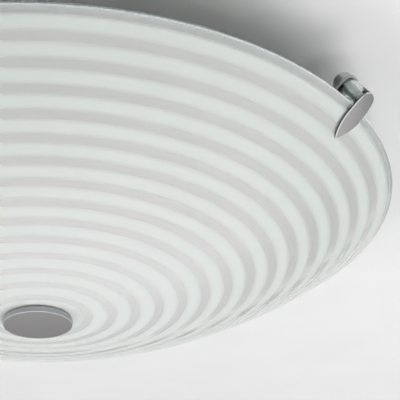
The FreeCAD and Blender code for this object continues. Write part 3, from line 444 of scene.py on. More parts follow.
# ---------------------------------------------------------------- materials
class Surface:
    """A Principled material whose colour, roughness and relief vary over the piece."""

    def __init__(self, name, colour, roughness, metallic=0.0):
        self.material = bpy.data.materials.new(name)
        self.material.use_nodes = True
        self.tree = self.material.node_tree
        self.shader = self.tree.nodes["Principled BSDF"]
        self.shader.inputs["Base Color"].default_value = (*colour, 1)
        self.shader.inputs["Roughness"].default_value = roughness
        self.shader.inputs["Metallic"].default_value = metallic
        self.colour = colour
        self.place = self.tree.nodes.new("ShaderNodeTexCoord").outputs["Object"]

    def node(self, kind, **values):
        made = self.tree.nodes.new(kind)
        for key, value in values.items():
            setattr(made, key, value)
        return made

    def link(self, source, target):
        self.tree.links.new(source, target)

    def math(self, operation, first, second=None):
        made = self.node("ShaderNodeMath", operation=operation)
        for socket, value in zip(made.inputs, (first, second)):
            if isinstance(value, (int, float)):
                socket.default_value = value
            elif value is not None:
                self.link(value, socket)
        return made.outputs[0]

    def noise(self, size, detail=2.0, stretch=(1, 1, 1)):
        """Noise whose grain is about size millimetres."""
        scaled = self.node("ShaderNodeMapping")
        scaled.inputs["Scale"].default_value = stretch
        self.link(self.place, scaled.inputs["Vector"])
        made = self.node("ShaderNodeTexNoise")
        made.inputs["Scale"].default_value = 1 / (size * MM)
        made.inputs["Detail"].default_value = detail
        self.link(scaled.outputs["Vector"], made.inputs["Vector"])
        return made.outputs["Fac"]

    def ramp(self, factor, low, high, start=0.3, end=0.7):
        """Goes smoothly from low to high as the factor goes from start to end."""
        made = self.node("ShaderNodeMapRange", interpolation_type="SMOOTHSTEP")
        self.link(factor, made.inputs["Value"])
        ends = {"From Min": start, "From Max": end, "To Min": low, "To Max": high}
        for key, value in ends.items():
            made.inputs[key].default_value = value
        return made.outputs["Result"]

    def mix(self, factor, first, second, blend_type="MIX"):
        """Blends two colours by a factor, each of which is a value or a socket."""
        made = self.node("ShaderNodeMix", data_type="RGBA", blend_type=blend_type)
        if isinstance(factor, (int, float)):
            made.inputs["Factor"].default_value = factor
        else:
            self.link(factor, made.inputs["Factor"])
        colours = [socket for socket in made.inputs if socket.type == "RGBA"]
        for socket, value in zip(colours, (first, second)):
            if isinstance(value, tuple):
                socket.default_value = (*value, 1)
            else:
                self.link(value, socket)
        return [socket for socket in made.outputs if socket.type == "RGBA"][0]

    def paint(self, colour):
        self.link(colour, self.shader.inputs["Base Color"])
        return self

    def mottle(self, size, amount, detail=3.0):
        """Slight light and dark patches in the colour."""
        dark = tuple(c * (1 - amount) for c in self.colour)
        light = tuple(min(1.0, c * (1 + amount)) for c in self.colour)
        factor = self.ramp(self.noise(size, detail), 0, 1)
        return self.paint(self.mix(factor, dark, light))

    def gloss(self, size, low, high):
        """Roughness that wanders between two values."""
        wander = self.ramp(self.noise(size, 3.0), low, high)
        self.link(wander, self.shader.inputs["Roughness"])
        return self

    def relief(self, height, depth, strength):
        """Bumps in the surface, depth millimetres high."""
        made = self.node("ShaderNodeBump")
        made.inputs["Strength"].default_value = strength
        made.inputs["Distance"].default_value = depth * MM
        self.link(height, made.inputs["Height"])
        self.link(made.outputs["Normal"], self.shader.inputs["Normal"])
        return self

    def cover(self, factor, other):
        """Another shader shows in place of the Principled one, by a factor."""
        both = self.node("ShaderNodeMixShader")
        self.link(factor, both.inputs["Fac"])
        self.link(self.shader.outputs["BSDF"], both.inputs[1])
        self.link(other, both.inputs[2])
        self.link(both.outputs["Shader"], self.tree.nodes["Material Output"].inputs["Surface"])
        return self


def polished_steel():
    made = Surface("polished_steel", (0.47, 0.47, 0.475), 0.2, metallic=1.0)
    made.mottle(9, 0.02).gloss(6, 0.15, 0.2)
    return made.relief(made.noise(0.25, 2, (1, 6, 1)), 0.001, 0.3).material


def polished_edge_and_highlight():
    """Finely polished bevel, brighter than the face beside it as a painted highlight."""
    made = Surface("polished_edge_and_highlight", (0.78, 0.78, 0.79), 0.1, metallic=1.0)
    made.mottle(4, 0.03).gloss(3, 0.08, 0.14)
    return made.relief(made.noise(0.2, 2), 0.001, 0.3).material


def ground_edge_and_shade():
    """Side wall left as it was stamped and ground, and darker than the polished face as painted shade."""
    made = Surface("ground_edge_and_shade", (0.17, 0.17, 0.175), 0.4, metallic=1.0)
    made.mottle(3, 0.08).gloss(2, 0.34, 0.46)
    return made.relief(made.noise(0.2, 3, (1, 1, 5)), 0.003, 0.4).material


def satin_disc():
    """Blasted and lacquered face of the centre disc, very fine grain."""
    made = Surface("satin_steel", (0.365, 0.355, 0.357), 0.38, metallic=1.0)
    made.mottle(14, 0.015).gloss(7, 0.34, 0.38)
    return made.relief(made.noise(0.18, 3), 0.002, 0.4).material


def satin_side_and_reflection():
    """Turned side of the disc, brighter and cooler than its face as a painted reflection."""
    made = Surface("satin_side_and_reflection", (0.43, 0.45, 0.475), 0.34, metallic=1.0)
    made.mottle(9, 0.03).gloss(4, 0.3, 0.38)
    return made.relief(made.noise(0.2, 2, (1, 1, 8)), 0.002, 0.4).material


def zinc_steel():
    made = Surface("zinc_steel", (0.52, 0.53, 0.55), 0.3, metallic=1.0)
    made.mottle(3.5, 0.08, 4).gloss(1.6, 0.2, 0.34)
    return made.relief(made.noise(0.3, 3), 0.004, 0.4).material


def white_paint():
    """Semi-gloss powder coat with its faint orange peel."""
    made = Surface("white_paint", (0.80, 0.80, 0.79), 0.36)
    made.mottle(30, 0.02).gloss(6, 0.32, 0.42)
    return made.relief(made.noise(0.9, 2), 0.03, 0.6).material


def white_plastic():
    made = Surface("white_plastic", (0.76, 0.76, 0.73), 0.45)
    made.mottle(12, 0.03).gloss(3, 0.4, 0.52)
    return made.relief(made.noise(0.35, 3), 0.012, 0.6).material


def rod_steel():
    """Rolled thread of the clip's rod, bright and even."""
    made = Surface("rod_steel", (0.72, 0.74, 0.735), 0.3, metallic=1.0)
    made.mottle(5, 0.03).gloss(4, 0.26, 0.32)
    return made.relief(made.noise(0.3, 2), 0.001, 0.3).material


def clear_plastic():
    """Clear tube, a little grey-green, with faint drawing lines along it."""
    made = Surface("clear_plastic", (0.80, 0.85, 0.835), 0.06)
    made.shader.inputs["Transmission Weight"].default_value = 1.0
    made.shader.inputs["IOR"].default_value = 1.49
    made.mottle(4, 0.015).gloss(3, 0.03, 0.06)
    return made.relief(made.noise(0.5, 1, (1, 1, 0.08)), 0.001, 0.4).material


def clear_rubber():
    made = Surface("clear_rubber", (0.72, 0.74, 0.73), 0.4)
    made.shader.inputs["Transmission Weight"].default_value = 0.5
    made.mottle(3, 0.04).gloss(1.5, 0.36, 0.5)
    return made.relief(made.noise(0.4, 2), 0.01, 0.5).material


def grey_rubber():
    made = Surface("grey_rubber", (0.075, 0.075, 0.078), 0.65)
    made.mottle(2, 0.12).gloss(1.2, 0.55, 0.75)
    return made.relief(made.noise(0.3, 3), 0.02, 0.6).material


def porcelain():
    made = Surface("porcelain", (0.78, 0.765, 0.72), 0.14)
    made.shader.inputs["Coat Weight"].default_value = 0.6
    made.mottle(7, 0.03, 5).gloss(5, 0.1, 0.2)
    return made.relief(made.noise(3, 2), 0.04, 0.5).material


def brass():
    made = Surface("brass", (0.70, 0.50, 0.22), 0.3, metallic=1.0)
    made.mottle(2, 0.14, 4).gloss(1.2, 0.22, 0.4)
    return made.relief(made.noise(0.3, 2), 0.008, 0.5).material


def aluminium():
    made = Surface("aluminium", (0.70, 0.70, 0.71), 0.32, metallic=1.0)
    made.mottle(2.5, 0.08, 4).gloss(1, 0.26, 0.42)
    return made.relief(made.noise(0.3, 3), 0.01, 0.5).material


def opal_plastic():
    """Opal diffuser of a lamp that is switched off."""
    made = Surface("opal_plastic", (0.84, 0.84, 0.80), 0.34)
    made.shader.inputs["Subsurface Weight"].default_value = 0.25
    made.shader.inputs["Subsurface Scale"].default_value = 0.003
    made.mottle(14, 0.02).gloss(5, 0.3, 0.4)
    return made.relief(made.noise(0.5, 2), 0.01, 0.5).material


def insulation(name, colour, stripe=None):
    """Wire insulation; the earth wire is green with a yellow stripe down its length."""
    made = Surface(name, colour, 0.42)
    made.gloss(1.5, 0.36, 0.5).relief(made.noise(0.4, 3), 0.01, 0.5)
    if stripe is None:
        return made.mottle(3, 0.1).material
    split = made.node("ShaderNodeSeparateXYZ")
    made.link(made.place, split.inputs[0])
    side = made.math("LESS_THAN", made.math("ABSOLUTE", split.outputs["Y"]), STRIPE_HALF * MM)
    patch = made.mix(made.ramp(made.noise(3), 0, 1), tuple(c * 0.9 for c in colour), colour)
    return made.paint(made.mix(side, patch, stripe)).material


def along_glass(made):
    """Distance from the shade's middle along its outside, in metres."""
    split = made.node("ShaderNodeSeparateXYZ")
    made.link(made.place, split.inputs[0])
    x, y = split.outputs["X"], split.outputs["Y"]
    squares = made.math("ADD", made.math("MULTIPLY", x, x), made.math("MULTIPLY", y, y))
    radius = made.math("SQRT", squares)
    ball = BALL_R * MM
    return made.math("MULTIPLY", made.math("ARCSINE", made.math("DIVIDE", radius, ball)), ball)


def clear_rings(made, along):
    """0 in the frosted rings and 1 in the clear ones, with soft edges."""
    half = RING_FROSTED / RING_PITCH / 2
    soft = RING_BLUR / RING_PITCH / 2
    from_start = made.math("SUBTRACT", RING_START * MM, along)
    rings = made.math("DIVIDE", from_start, RING_PITCH * MM)
    phase = made.math("FRACT", made.math("ADD", rings, 0.5 - half))
    off_middle = made.math("ABSOLUTE", made.math("SUBTRACT", phase, 0.5))
    return made.ramp(off_middle, 0, 1, half - soft, half + soft)


def ring_glass():
    """Glass with frosted rings, evenly spaced along its surface; the clear rings stay glossy."""
    made = Surface("ring_glass", FROSTED, 0.45)
    along = along_glass(made)
    clear = clear_rings(made, along)
    rim = made.ramp(along, 0, 1, (RING_START - RING_BLUR / 2) * MM,
                    (RING_START + RING_BLUR / 2) * MM)
    # colours lighter towards the middle, as painted light
    outward = made.ramp(along, 0, 1, PAINTED_LIGHT_FULL_TO * MM, PAINTED_LIGHT_GONE_FROM * MM)
    bands = made.mix(clear, made.mix(outward, FROSTED_LIT_AT_CENTRE, FROSTED),
                     made.mix(outward, CLEAR_LIT_AT_CENTRE, CLEAR))
    cloud = made.mix(made.ramp(made.noise(18, 3), 0, 1), CLOUDED, UNCLOUDED)
    made.paint(made.mix(1.0, made.mix(rim, bands, RIM_BAND), cloud, "MULTIPLY"))
    made.link(made.ramp(clear, FROSTED_ROUGHNESS, CLEAR_ROUGHNESS, 0, 1),
              made.shader.inputs["Roughness"])
    made.link(made.math("MAXIMUM", clear, rim), made.shader.inputs["Coat Weight"])
    made.shader.inputs["Coat Roughness"].default_value = 0.12
    made.shader.inputs["Coat IOR"].default_value = 1.7
    through = made.math("MAXIMUM", made.math("MULTIPLY", clear, RING_SEEN_THROUGH),
                        made.math("MULTIPLY", rim, RIM_SEEN_THROUGH))
    made.link(through, made.shader.inputs["Transmission Weight"])
    frost = made.math("MULTIPLY", made.noise(0.25, 3), made.math("SUBTRACT", 1.0, clear))
    return made.relief(frost, 0.01, 0.5).material


def glass_arris_and_highlight():
    """Ground corner of the glass, pale as ground glass is, and brightened and blued as a painted highlight."""
    made = Surface("glass_arris_and_highlight", (0.93, 0.96, 1.0), 0.3)
    made.mottle(2, 0.03).gloss(1, 0.24, 0.36)
    return made.relief(made.noise(0.2, 2), 0.01, 0.5).material


def glass_cut():
    """Cut face of the rim, green and dim as thick glass is from its edge."""
    made = Surface("glass_cut", (0.30, 0.38, 0.36), 0.22)
    made.mottle(3, 0.08).gloss(1.5, 0.18, 0.3)
    return made.relief(made.noise(0.6, 2), 0.01, 0.5).material


MATERIALS = {
    "glass": ring_glass(),
    "polished_steel": polished_steel(),
    "satin_steel": satin_disc(),
    "zinc_steel": zinc_steel(),
    "white_paint": white_paint(),
    "clear_plastic": clear_plastic(),
    "clear_rubber": clear_rubber(),
    "white_plastic": white_plastic(),
    "grey_rubber": grey_rubber(),
    "porcelain": porcelain(),
    "brass": brass(),
    "aluminium": aluminium(),
    "opal_plastic": opal_plastic(),
    "brown_insulation": insulation("brown_insulation", (0.13, 0.045, 0.018)),
    "blue_insulation": insulation("blue_insulation", (0.02, 0.09, 0.36)),
    "green_yellow_insulation": insulation("green_yellow_insulation", (0.03, 0.22, 0.045),
                                          stripe=(0.75, 0.60, 0.03)),
}
DETAIL_MATERIALS = {
    "rod_steel": rod_steel(),
    "satin_side_and_reflection": satin_side_and_reflection(),
    "polished_edge_and_highlight": polished_edge_and_highlight(),
    "ground_edge_and_shade": ground_edge_and_shade(),
}
SLOT_OF = {row["node"]: row["material_slot"] for row in frame["record"]["subparts"]}
BODY_OF = {node: body for body, members in frame["record"]["behaviour"]["bodies"].items()
           for node in members}


def dress_nodes():
    """Every node of the frame gets its slot's material."""
    for name, piece in nodes.items():
        piece.data.materials.clear()
        piece.data.materials.append(MATERIALS[SLOT_OF[name]])


def stand_for(piece, node):
    """The piece shows in place of a node, on its body."""
    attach(piece, BODY_OF[node])
    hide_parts(node)


# ---------------------------------------------------------------- shade and disc
def on_ball(radius, angle):
    return radius * math.sin(angle), BALL_Z - radius * math.cos(angle)


def shade():
    inner = BALL_R - SHADE_WALL
    hole_out = math.asin(SHADE_HOLE_R / BALL_R)
    hole_in = math.asin(SHADE_HOLE_R / inner)
    last = RIM_SLOPE - SHADE_ARRIS / BALL_R
    shares = [k / SHADE_ROWS for k in range(SHADE_ROWS + 1)]
    outside = [on_ball(BALL_R, hole_out + (last - hole_out) * share) for share in shares]
    inside = [on_ball(inner, last + (hole_in - last) * share) for share in shares]
    edge = [on_ball(BALL_R - SHADE_ARRIS, RIM_SLOPE), on_ball(inner + SHADE_ARRIS, RIM_SLOPE)]
    piece = lathe("shade_glass", outside + edge + inside, MATERIALS["glass"], SHADE_STEPS,
                  sharp=25)
    # the arris row carries the painted highlight
    edged(piece, glass_arris_and_highlight(), [SHADE_ROWS], SHADE_STEPS)
    edged(piece, glass_cut(), [SHADE_ROWS + 1, SHADE_ROWS + 2], SHADE_STEPS)
    stand_for(piece, "glass_shade")


def disc():
    """Disc with its stud; its lower edge has a painted highlight, its side a cooler painted reflection."""
    low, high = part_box("centre_disc")
    bottom, stud_top = low.z / MM, high.z / MM
    radius = high.x / MM
    top = bottom + DISC_THICK
    corners = [(NEAR_AXIS, bottom), (radius, bottom), (radius, top), (DISC_STUD_R, top)]
    plate = eased(corners, DISC_EDGE, closed=False, steps=DISC_EDGE_STEPS)
    outline = plate[:-1] + stack(DISC_STUD_R, top, stud_top - DISC_STUD_CHAMFER, ROD_ROW)
    outline.append((DISC_STUD_R - DISC_STUD_CHAMFER, stud_top))
    piece = threaded("disc_and_stud", outline, ROD_PITCH, ROD_THREAD,
                     (top + DISC_STUD_PLAIN, stud_top), MATERIALS["satin_steel"],
                     steps=DISC_STEPS)
    edged(piece, DETAIL_MATERIALS["polished_edge_and_highlight"], DISC_HIGHLIGHT_ROWS, DISC_STEPS)
    edged(piece, DETAIL_MATERIALS["satin_side_and_reflection"], DISC_SIDE_ROWS, DISC_STEPS)
    stand_for(piece, "centre_disc")


# ---------------------------------------------------------------- clips
def clip_placement(joint):
    """X to the leaf's point, Z up the rod, origin on the leaf's back."""
    up_rod = Vector(joint["axis"]).normalized()
    origin = Vector(joint["pos_m"])
    outward = Vector((origin.x, origin.y, 0)).normalized()
    inward = -(outward - up_rod * outward.dot(up_rod)).normalized()
    side = up_rod.cross(inward)
    turn = Matrix((inward, side, up_rod)).transposed().to_4x4()
    return Matrix.Translation(origin) @ turn


def leaf_outline():
    """Heel arc, two full flanks and a point, as one closed loop of (x, y)."""
    half = LEAF_WIDTH / 2
    past = LEAF_REACH - LEAF_WIDEST_AT
    fore_r = (past ** 2 + half ** 2) / (2 * half)
    aft_r = (LEAF_WIDEST_AT ** 2 + half ** 2 - LEAF_HEEL ** 2) / (2 * (half - LEAF_HEEL))
    lean = math.atan2(LEAF_WIDEST_AT, aft_r - half)
    sweep = math.asin(past / fore_r)
    heel_sweep = math.pi / 2 - lean
    upper = []
    for k in range(LEAF_FLANK_STEPS):
        angle = sweep * (1 - k / LEAF_FLANK_STEPS)
        upper.append((LEAF_WIDEST_AT + fore_r * math.sin(angle),
                      half - fore_r + fore_r * math.cos(angle)))
    for k in range(LEAF_END_STEPS):
        angle = lean * k / LEAF_END_STEPS
        upper.append((LEAF_WIDEST_AT - aft_r * math.sin(angle),
                      half - aft_r + aft_r * math.cos(angle)))
    for k in range(LEAF_END_STEPS + 1):
        angle = heel_sweep - heel_sweep * k / LEAF_END_STEPS
        upper.append((-LEAF_HEEL * math.cos(angle), LEAF_HEEL * math.sin(angle)))
    lower = [(x, -y) for x, y in reversed(upper[1:-1])]
    return upper + lower


def shrunk(outline, distance):
    """A closed outline drawn in by a distance, square to itself."""
    ring = []
    for k, (x, y) in enumerate(outline):
        before = Vector(outline[k - 1])
        after = Vector(outline[(k + 1) % len(outline)])
        along = (after - before).normalized()
        inward = Vector((-along.y, along.x))
        ring.append(Vector((x, y)) + inward * distance)
    return ring


def crown(point):
    """Height of the leaf's domed face."""
    off = (point.x - LEAF_WIDEST_AT) ** 2 + point.y ** 2
    return -LEAF_THICK + LEAF_CROWN_R - math.sqrt(LEAF_CROWN_R ** 2 - off)


def leaf(number, placement):
    outline = leaf_outline()
    edge = shrunk(outline, 0.0)
    bevel = shrunk(outline, LEAF_BEVEL)
    rings = [[(p.x, p.y, 0.0) for p in shrunk(outline, LEAF_BACK_EDGE)],
             [(p.x, p.y, -LEAF_BACK_EDGE) for p in edge],
             [(p.x, p.y, crown(p) + LEAF_BEVEL_HEIGHT) for p in edge],
             [(p.x, p.y, crown(p)) for p in bevel]]
    hub = Vector((LEAF_WIDEST_AT, 0))
    for share in LEAF_CROWN_SHARES:
        inner = [hub + (p - hub) * share for p in bevel]
        rings.append([(p.x, p.y, crown(p)) for p in inner])
    askew = placement @ Matrix.Rotation(-LEAF_TURN, 4, "Z")
    piece = loft("leaf_head_%d" % number, rings, MATERIALS["polished_steel"], askew, 18)
    # the side wall's dark colour is painted shade and the bevel's bright colour a painted highlight
    edged(piece, DETAIL_MATERIALS["ground_edge_and_shade"], [LEAF_WALL_ROW], len(outline))
    edged(piece, DETAIL_MATERIALS["polished_edge_and_highlight"], [LEAF_BEVEL_ROW], len(outline))
    stand_for(piece, "leaf_%d" % number)


def clip_rod(number, placement):
    outline = [(SPIGOT_R - SPIGOT_CHAMFER, SPIGOT_CHAMFER - SPIGOT_DEPTH), (SPIGOT_R, 0.0)]
    outline += stack(ROD_R, ROD_BOTTOM, ROD_TOP - ROD_CHAMFER, ROD_ROW)
    outline.append((ROD_R - ROD_CHAMFER, ROD_TOP))
    piece = threaded("clip_thread_%d" % number, outline, ROD_PITCH, ROD_THREAD,
                     (ROD_PLAIN, ROD_TOP), DETAIL_MATERIALS["rod_steel"], placement)
    stand_for(piece, "clip_rod_%d" % number)


def clip_ring(name, radius, low, high, edge, material, placement):
    """Round piece that the rod passes through."""
    inside = ROD_R + RUNNING_GAP
    outline = eased([(inside, low), (radius, low), (radius, high), (inside, high)], edge)
    return lathe(name, outline, MATERIALS[material], CLIP_STEPS, placement)


def clip(number, joint):
    placement = clip_placement(joint)
    leaf(number, placement)
    clip_rod(number, placement)
    tube = clip_ring("clip_tube_%d" % number, SLEEVE_R, SEAT_GAP, LEAF_TO_TAB - TAB_GAP,
                     SLEEVE_EDGE, "clear_plastic", placement)
    stand_for(tube, "clip_sleeve_%d" % number)
    seat = LEAF_TO_TAB + TAB_SHEET + TAB_GAP
    washer_top = seat + CLIP_WASHER_THICK
    washer = clip_ring("clip_ring_%d" % number, CLIP_WASHER_R, seat, washer_top,
                       CLIP_WASHER_EDGE, "polished_steel", placement)
    stand_for(washer, "clip_washer_%d" % number)
    spun = placement @ Matrix.Rotation(CLIP_NUT_TURN, 4, "Z")
    nut = hex_nut("clip_hexagon_%d" % number, CLIP_NUT_FLATS, ROD_R + NUT_GAP,
                  (washer_top + SEAT_GAP, washer_top + CLIP_NUT_HEIGHT),
                  MATERIALS["polished_steel"], spun, CLIP_NUT_FAR_SLOPE)
    stand_for(nut, "clip_nut_%d" % number)


# ---------------------------------------------------------------- fasteners
def heights(node):
    low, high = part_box(node)
    return low.z / MM, high.z / MM


def small_screw(name, at, span, head_edge, material):
    """Screw that stands on its tip at (x, y), head up."""
    tip, top = span
    seat = top - SMALL_HEAD_HEIGHT
    pitch = SMALL_SCREW_PITCH
    outline = [(SMALL_SCREW_R - pitch / 2, tip)]
    outline += stack(SMALL_SCREW_R, tip + pitch / 2, seat, pitch / 8)
    outline += [(SMALL_HEAD_R, seat), (SMALL_HEAD_R, top - head_edge),
                (SMALL_HEAD_R - head_edge, top)]
    place = Matrix.Translation(Vector((*at, 0)) * MM)
    return threaded(name, outline, pitch, pitch * 0.5, (tip, seat), material, place)


def strap_fasteners():
    zinc = MATERIALS["zinc_steel"]
    sides = (-STUD_AT, STUD_AT)
    span = heights("strap_studs")
    studs = []
    for side in sides:
        stud = small_screw("stud", (0, side), span, STUD_HEAD_EDGE, zinc)
        for turn in (STUD_SLOT_TURN, STUD_SLOT_TURN + math.pi / 2):
            sawn(stud, (0, side, span[1]), STUD_SLOT, turn)
        studs.append(stud)
    stand_for(gather("strap_screws", studs), "strap_studs")
    nuts = [hex_nut("nut", LOCK_NUT_FLATS, SMALL_SCREW_R + LOCK_NUT_GAP,
                    heights("strap_lock_nuts"), zinc, Matrix.Translation((0, side * MM, 0)))
            for side in sides]
    stand_for(gather("strap_hexagons", nuts), "strap_lock_nuts")


def centre_nut():
    nut = hex_nut("centre_hexagon", CENTRE_NUT_FLATS, DISC_STUD_R + NUT_GAP,
                  heights("centre_nut"), MATERIALS["zinc_steel"])
    stand_for(nut, "centre_nut")


def clamp_screws():
    """Headless slotted screws of the terminal block, two to a pole, each left at its own turn."""
    low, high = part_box("terminal_screws")
    tip, top = low.z / MM, high.z / MM
    middle = (low + high) / 2 / MM
    reach_x = (high.x - low.x) / 2 / MM - CLAMP_SCREW_R
    reach_y = (high.y - low.y) / 2 / MM - CLAMP_SCREW_R
    edge_r, edge_height = CLAMP_SCREW_EDGE
    outline = [(CLAMP_SCREW_R - CLAMP_SCREW_TIP, tip)]
    outline += stack(CLAMP_SCREW_R, tip + CLAMP_SCREW_TIP, top - edge_height, CLAMP_SCREW_ROW)
    outline.append((CLAMP_SCREW_R - edge_r, top))
    span = (tip, top - CLAMP_SCREW_SLOT[2])
    screws = []
    for y in (-reach_y, 0, reach_y):
        for x in (-reach_x, reach_x):
            at = (middle.x + x, middle.y + y)
            place = Matrix.Translation(Vector((*at, 0)) * MM)
            screw = threaded("clamp", outline, CLAMP_SCREW_PITCH, CLAMP_SCREW_THREAD, span,
                             MATERIALS["zinc_steel"], place)
            turn = CLAMP_SCREW_TURN[0] * x + CLAMP_SCREW_TURN[1] * y
            sawn(screw, (*at, top), CLAMP_SCREW_SLOT, turn)
            screws.append(screw)
    stand_for(gather("clamp_screws", screws), "terminal_screws")


def earth_screw():
    low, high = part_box("earth_screw")
    at = ((low.x + high.x) / 2 / MM, (low.y + high.y) / 2 / MM)
    span = heights("earth_screw")
    screw = small_screw("earth_slotted", at, span, EARTH_HEAD_EDGE, MATERIALS["brass"])
    stand_for(sawn(screw, (*at, span[1]), EARTH_SLOT, EARTH_SLOT_TURN), "earth_screw")


# ---------------------------------------------------------------- lamps and lampholders
def lamp_placement(joint):
    """Z from the lamp's end contact along the lamp, which is its turning axis."""
    along = Vector(joint["axis"]).normalized()
    side = UP.cross(along)
    turn = Matrix((side, along.cross(side), along)).transposed().to_4x4()
    return Matrix.Translation(Vector(joint["pos_m"])) @ turn


def lamp_cap(prefix, placement):
    """Rolled screw cap, a closed outline from its inside round to its inside."""
    inside = CAP_R - CAP_THREAD - CAP_SHEET
    outline = [(inside, CAP_BOTTOM + CAP_EDGE), (inside + CAP_EDGE, CAP_BOTTOM),
               (CAP_R - CAP_EDGE, CAP_BOTTOM)]
    outline += stack(CAP_R, CAP_BOTTOM + CAP_EDGE, CAP_TOP - CAP_EDGE, CAP_ROW)
    outline += [(CAP_R - CAP_EDGE, CAP_TOP), (inside + CAP_EDGE, CAP_TOP),
                (inside, CAP_TOP - CAP_EDGE)]
    piece = threaded(prefix + "thread", outline, CAP_PITCH, CAP_THREAD, CAP_THREAD_SPAN,
                     MATERIALS["aluminium"], placement, CAP_STEPS, around=True, groove=wave)
    stand_for(piece, prefix + "cap")


def lamp_shell(prefix, placement):
    """White lower half, from its neck in the cap out to the seam."""
    seam_r = math.sqrt(LAMP_R ** 2 - (LAMP_SEAM_AT - LAMP_BALL_AT) ** 2)
    neck = CAP_R - CAP_THREAD - CAP_SHEET - RUNNING_GAP
    lip = CAP_TOP + SEAT_GAP
    outline = [(neck - LAMP_WALL, LAMP_NECK_AT), (neck, LAMP_NECK_AT), (neck, lip),
               (CAP_R + LAMP_WALL, lip), (seam_r, LAMP_SEAM_AT),
               (seam_r - LAMP_WALL, LAMP_SEAM_AT), (neck - LAMP_WALL, lip + LAMP_WALL)]
    piece = lathe(prefix + "shell", eased(outline, LAMP_SHELL_EDGE), MATERIALS["white_plastic"],
                  LAMP_STEPS, placement)
    stand_for(piece, prefix + "body")


def lamp_diffuser(prefix, placement):
    """Opal ball above the seam, out along its outside and back along its inside."""
    below_middle = LAMP_BALL_AT - LAMP_SEAM_AT - SEAT_GAP
    end = math.pi - LAMP_POLE_ANGLE
    outline = []
    for radius in (LAMP_R, LAMP_R - LAMP_WALL):
        start = math.acos(below_middle / radius)
        angles = [start + (end - start) * k / LAMP_ROWS for k in range(LAMP_ROWS + 1)]
        if outline:
            angles.reverse()
        outline += [(radius * math.sin(angle), LAMP_BALL_AT - radius * math.cos(angle))
                    for angle in angles]
    piece = lathe(prefix + "diffuser", outline, MATERIALS["opal_plastic"], LAMP_STEPS,
                  placement)
    stand_for(piece, prefix + "globe")


def lamp(number, placement):
    prefix = "lamp_%d_" % number
    lamp_cap(prefix, placement)
    lamp_shell(prefix, placement)
    lamp_diffuser(prefix, placement)


def lampholder(number, placement):
    cone_low, cone_high = HOLDER_CONE
    nipple_hole = NIPPLE_R + SEAT_GAP
    nipple_stop = NIPPLE_TOP + SEAT_GAP
    outline = eased([(nipple_hole, HOLDER_BACK), (HOLDER_BACK_R, HOLDER_BACK),
                     (HOLDER_BACK_R, cone_low), (HOLDER_R, cone_high),
                     (HOLDER_R, HOLDER_MOUTH), (HOLDER_INSIDE_R, HOLDER_MOUTH),
                     (HOLDER_INSIDE_R, HOLDER_FLOOR), (NIPPLE_BORE_R, HOLDER_FLOOR),
                     (NIPPLE_BORE_R, nipple_stop), (nipple_hole, nipple_stop)], HOLDER_EDGE)
    piece = lathe("holder_body_%d" % number, outline, MATERIALS["porcelain"], HOLDER_STEPS,
                  placement)
    stand_for(piece, "lampholder_%d" % number)


def nipple(placement):
    """Threaded tube behind a lampholder."""
    rim = NIPPLE_R - NIPPLE_CHAMFER
    wide_bore = NIPPLE_BORE_R + NIPPLE_CHAMFER
    outline = [(NIPPLE_BORE_R, NIPPLE_BOTTOM + NIPPLE_CHAMFER), (wide_bore, NIPPLE_BOTTOM),
               (rim, NIPPLE_BOTTOM)]
    outline += stack(NIPPLE_R, NIPPLE_BOTTOM + NIPPLE_LEAD, NIPPLE_TOP - NIPPLE_LEAD,
                     NIPPLE_ROW)
    outline += [(rim, NIPPLE_TOP), (wide_bore, NIPPLE_TOP),
                (NIPPLE_BORE_R, NIPPLE_TOP - NIPPLE_CHAMFER)]
    return threaded("nipple", outline, NIPPLE_PITCH, NIPPLE_THREAD, (NIPPLE_BOTTOM, NIPPLE_TOP),
                    MATERIALS["brass"], placement, around=True)


def clips_and_lamps():
    tubes = []
    nuts = []
    for joint in frame["joints"]:
        number = int(joint["child"][-1])
        if joint["child"].startswith("clip"):
            clip(number, joint)
            continue
        placement = lamp_placement(joint)
        lamp(number, placement)
        lampholder(number, placement)
        tubes.append(nipple(placement))
        nuts.append(hex_nut("nut", NIPPLE_NUT_FLATS, NIPPLE_R + NUT_GAP, NIPPLE_NUT_SPAN,
                            MATERIALS["zinc_steel"], placement))
    stand_for(gather("threaded_tubes", tubes), "lampholder_nipples")
    stand_for(gather("tube_hexagons", nuts), "nipple_nuts")


# ---------------------------------------------------------------- surroundings
def emulsion(name, colour):
    """Matt wall paint."""
    made = Surface(name, colour, 0.9)
    made.mottle(60, 0.012).relief(made.noise(1.5, 2), 0.05, 0.3)
    return made


def floor_paint():
    """Paint that the camera, gloss and glass see pale; far off, gloss and glass see it dimmer."""
    made = emulsion("floor_paint", FLOOR_COLOUR)
    glow = made.node("ShaderNodeEmission")
    glow.inputs["Color"].default_value = (*FLOOR_COLOUR, 1)
    away = made.node("ShaderNodeVectorMath", operation="LENGTH")
    made.link(made.place, away.inputs[0])
    fading = made.ramp(away.outputs["Value"], *FLOOR_GLOW, *FLOOR_GLOW_AT)
    path = made.node("ShaderNodeLightPath").outputs
    even = made.math("MULTIPLY", path["Is Camera Ray"], FLOOR_GLOW_SEEN)
    made.link(made.math("MAXIMUM", fading, even), glow.inputs["Strength"])
    reflected = made.math("MAXIMUM", path["Is Glossy Ray"], path["Is Transmission Ray"])
    seen = made.math("MAXIMUM", path["Is Camera Ray"], reflected)
    return made.cover(seen, glow.outputs["Emission"]).material


def ceiling_paint():
    """Paint that casts no shadow and is open to looks from its back."""
    made = emulsion("ceiling_paint", CEILING_COLOUR)
    clear = made.node("ShaderNodeBsdfTransparent")
    behind = made.node("ShaderNodeNewGeometry").outputs["Backfacing"]
    shadow = made.node("ShaderNodeLightPath").outputs["Is Shadow Ray"]
    return made.cover(made.math("MAXIMUM", behind, shadow), clear.outputs["BSDF"]).material


def stage_sheet(name, verts, faces, material):
    mesh = bpy.data.meshes.new(name)
    mesh.from_pydata(verts, [], faces)
    mesh.materials.append(material)
    piece = bpy.data.objects.new(name, mesh)
    bpy.context.scene.collection.objects.link(piece)


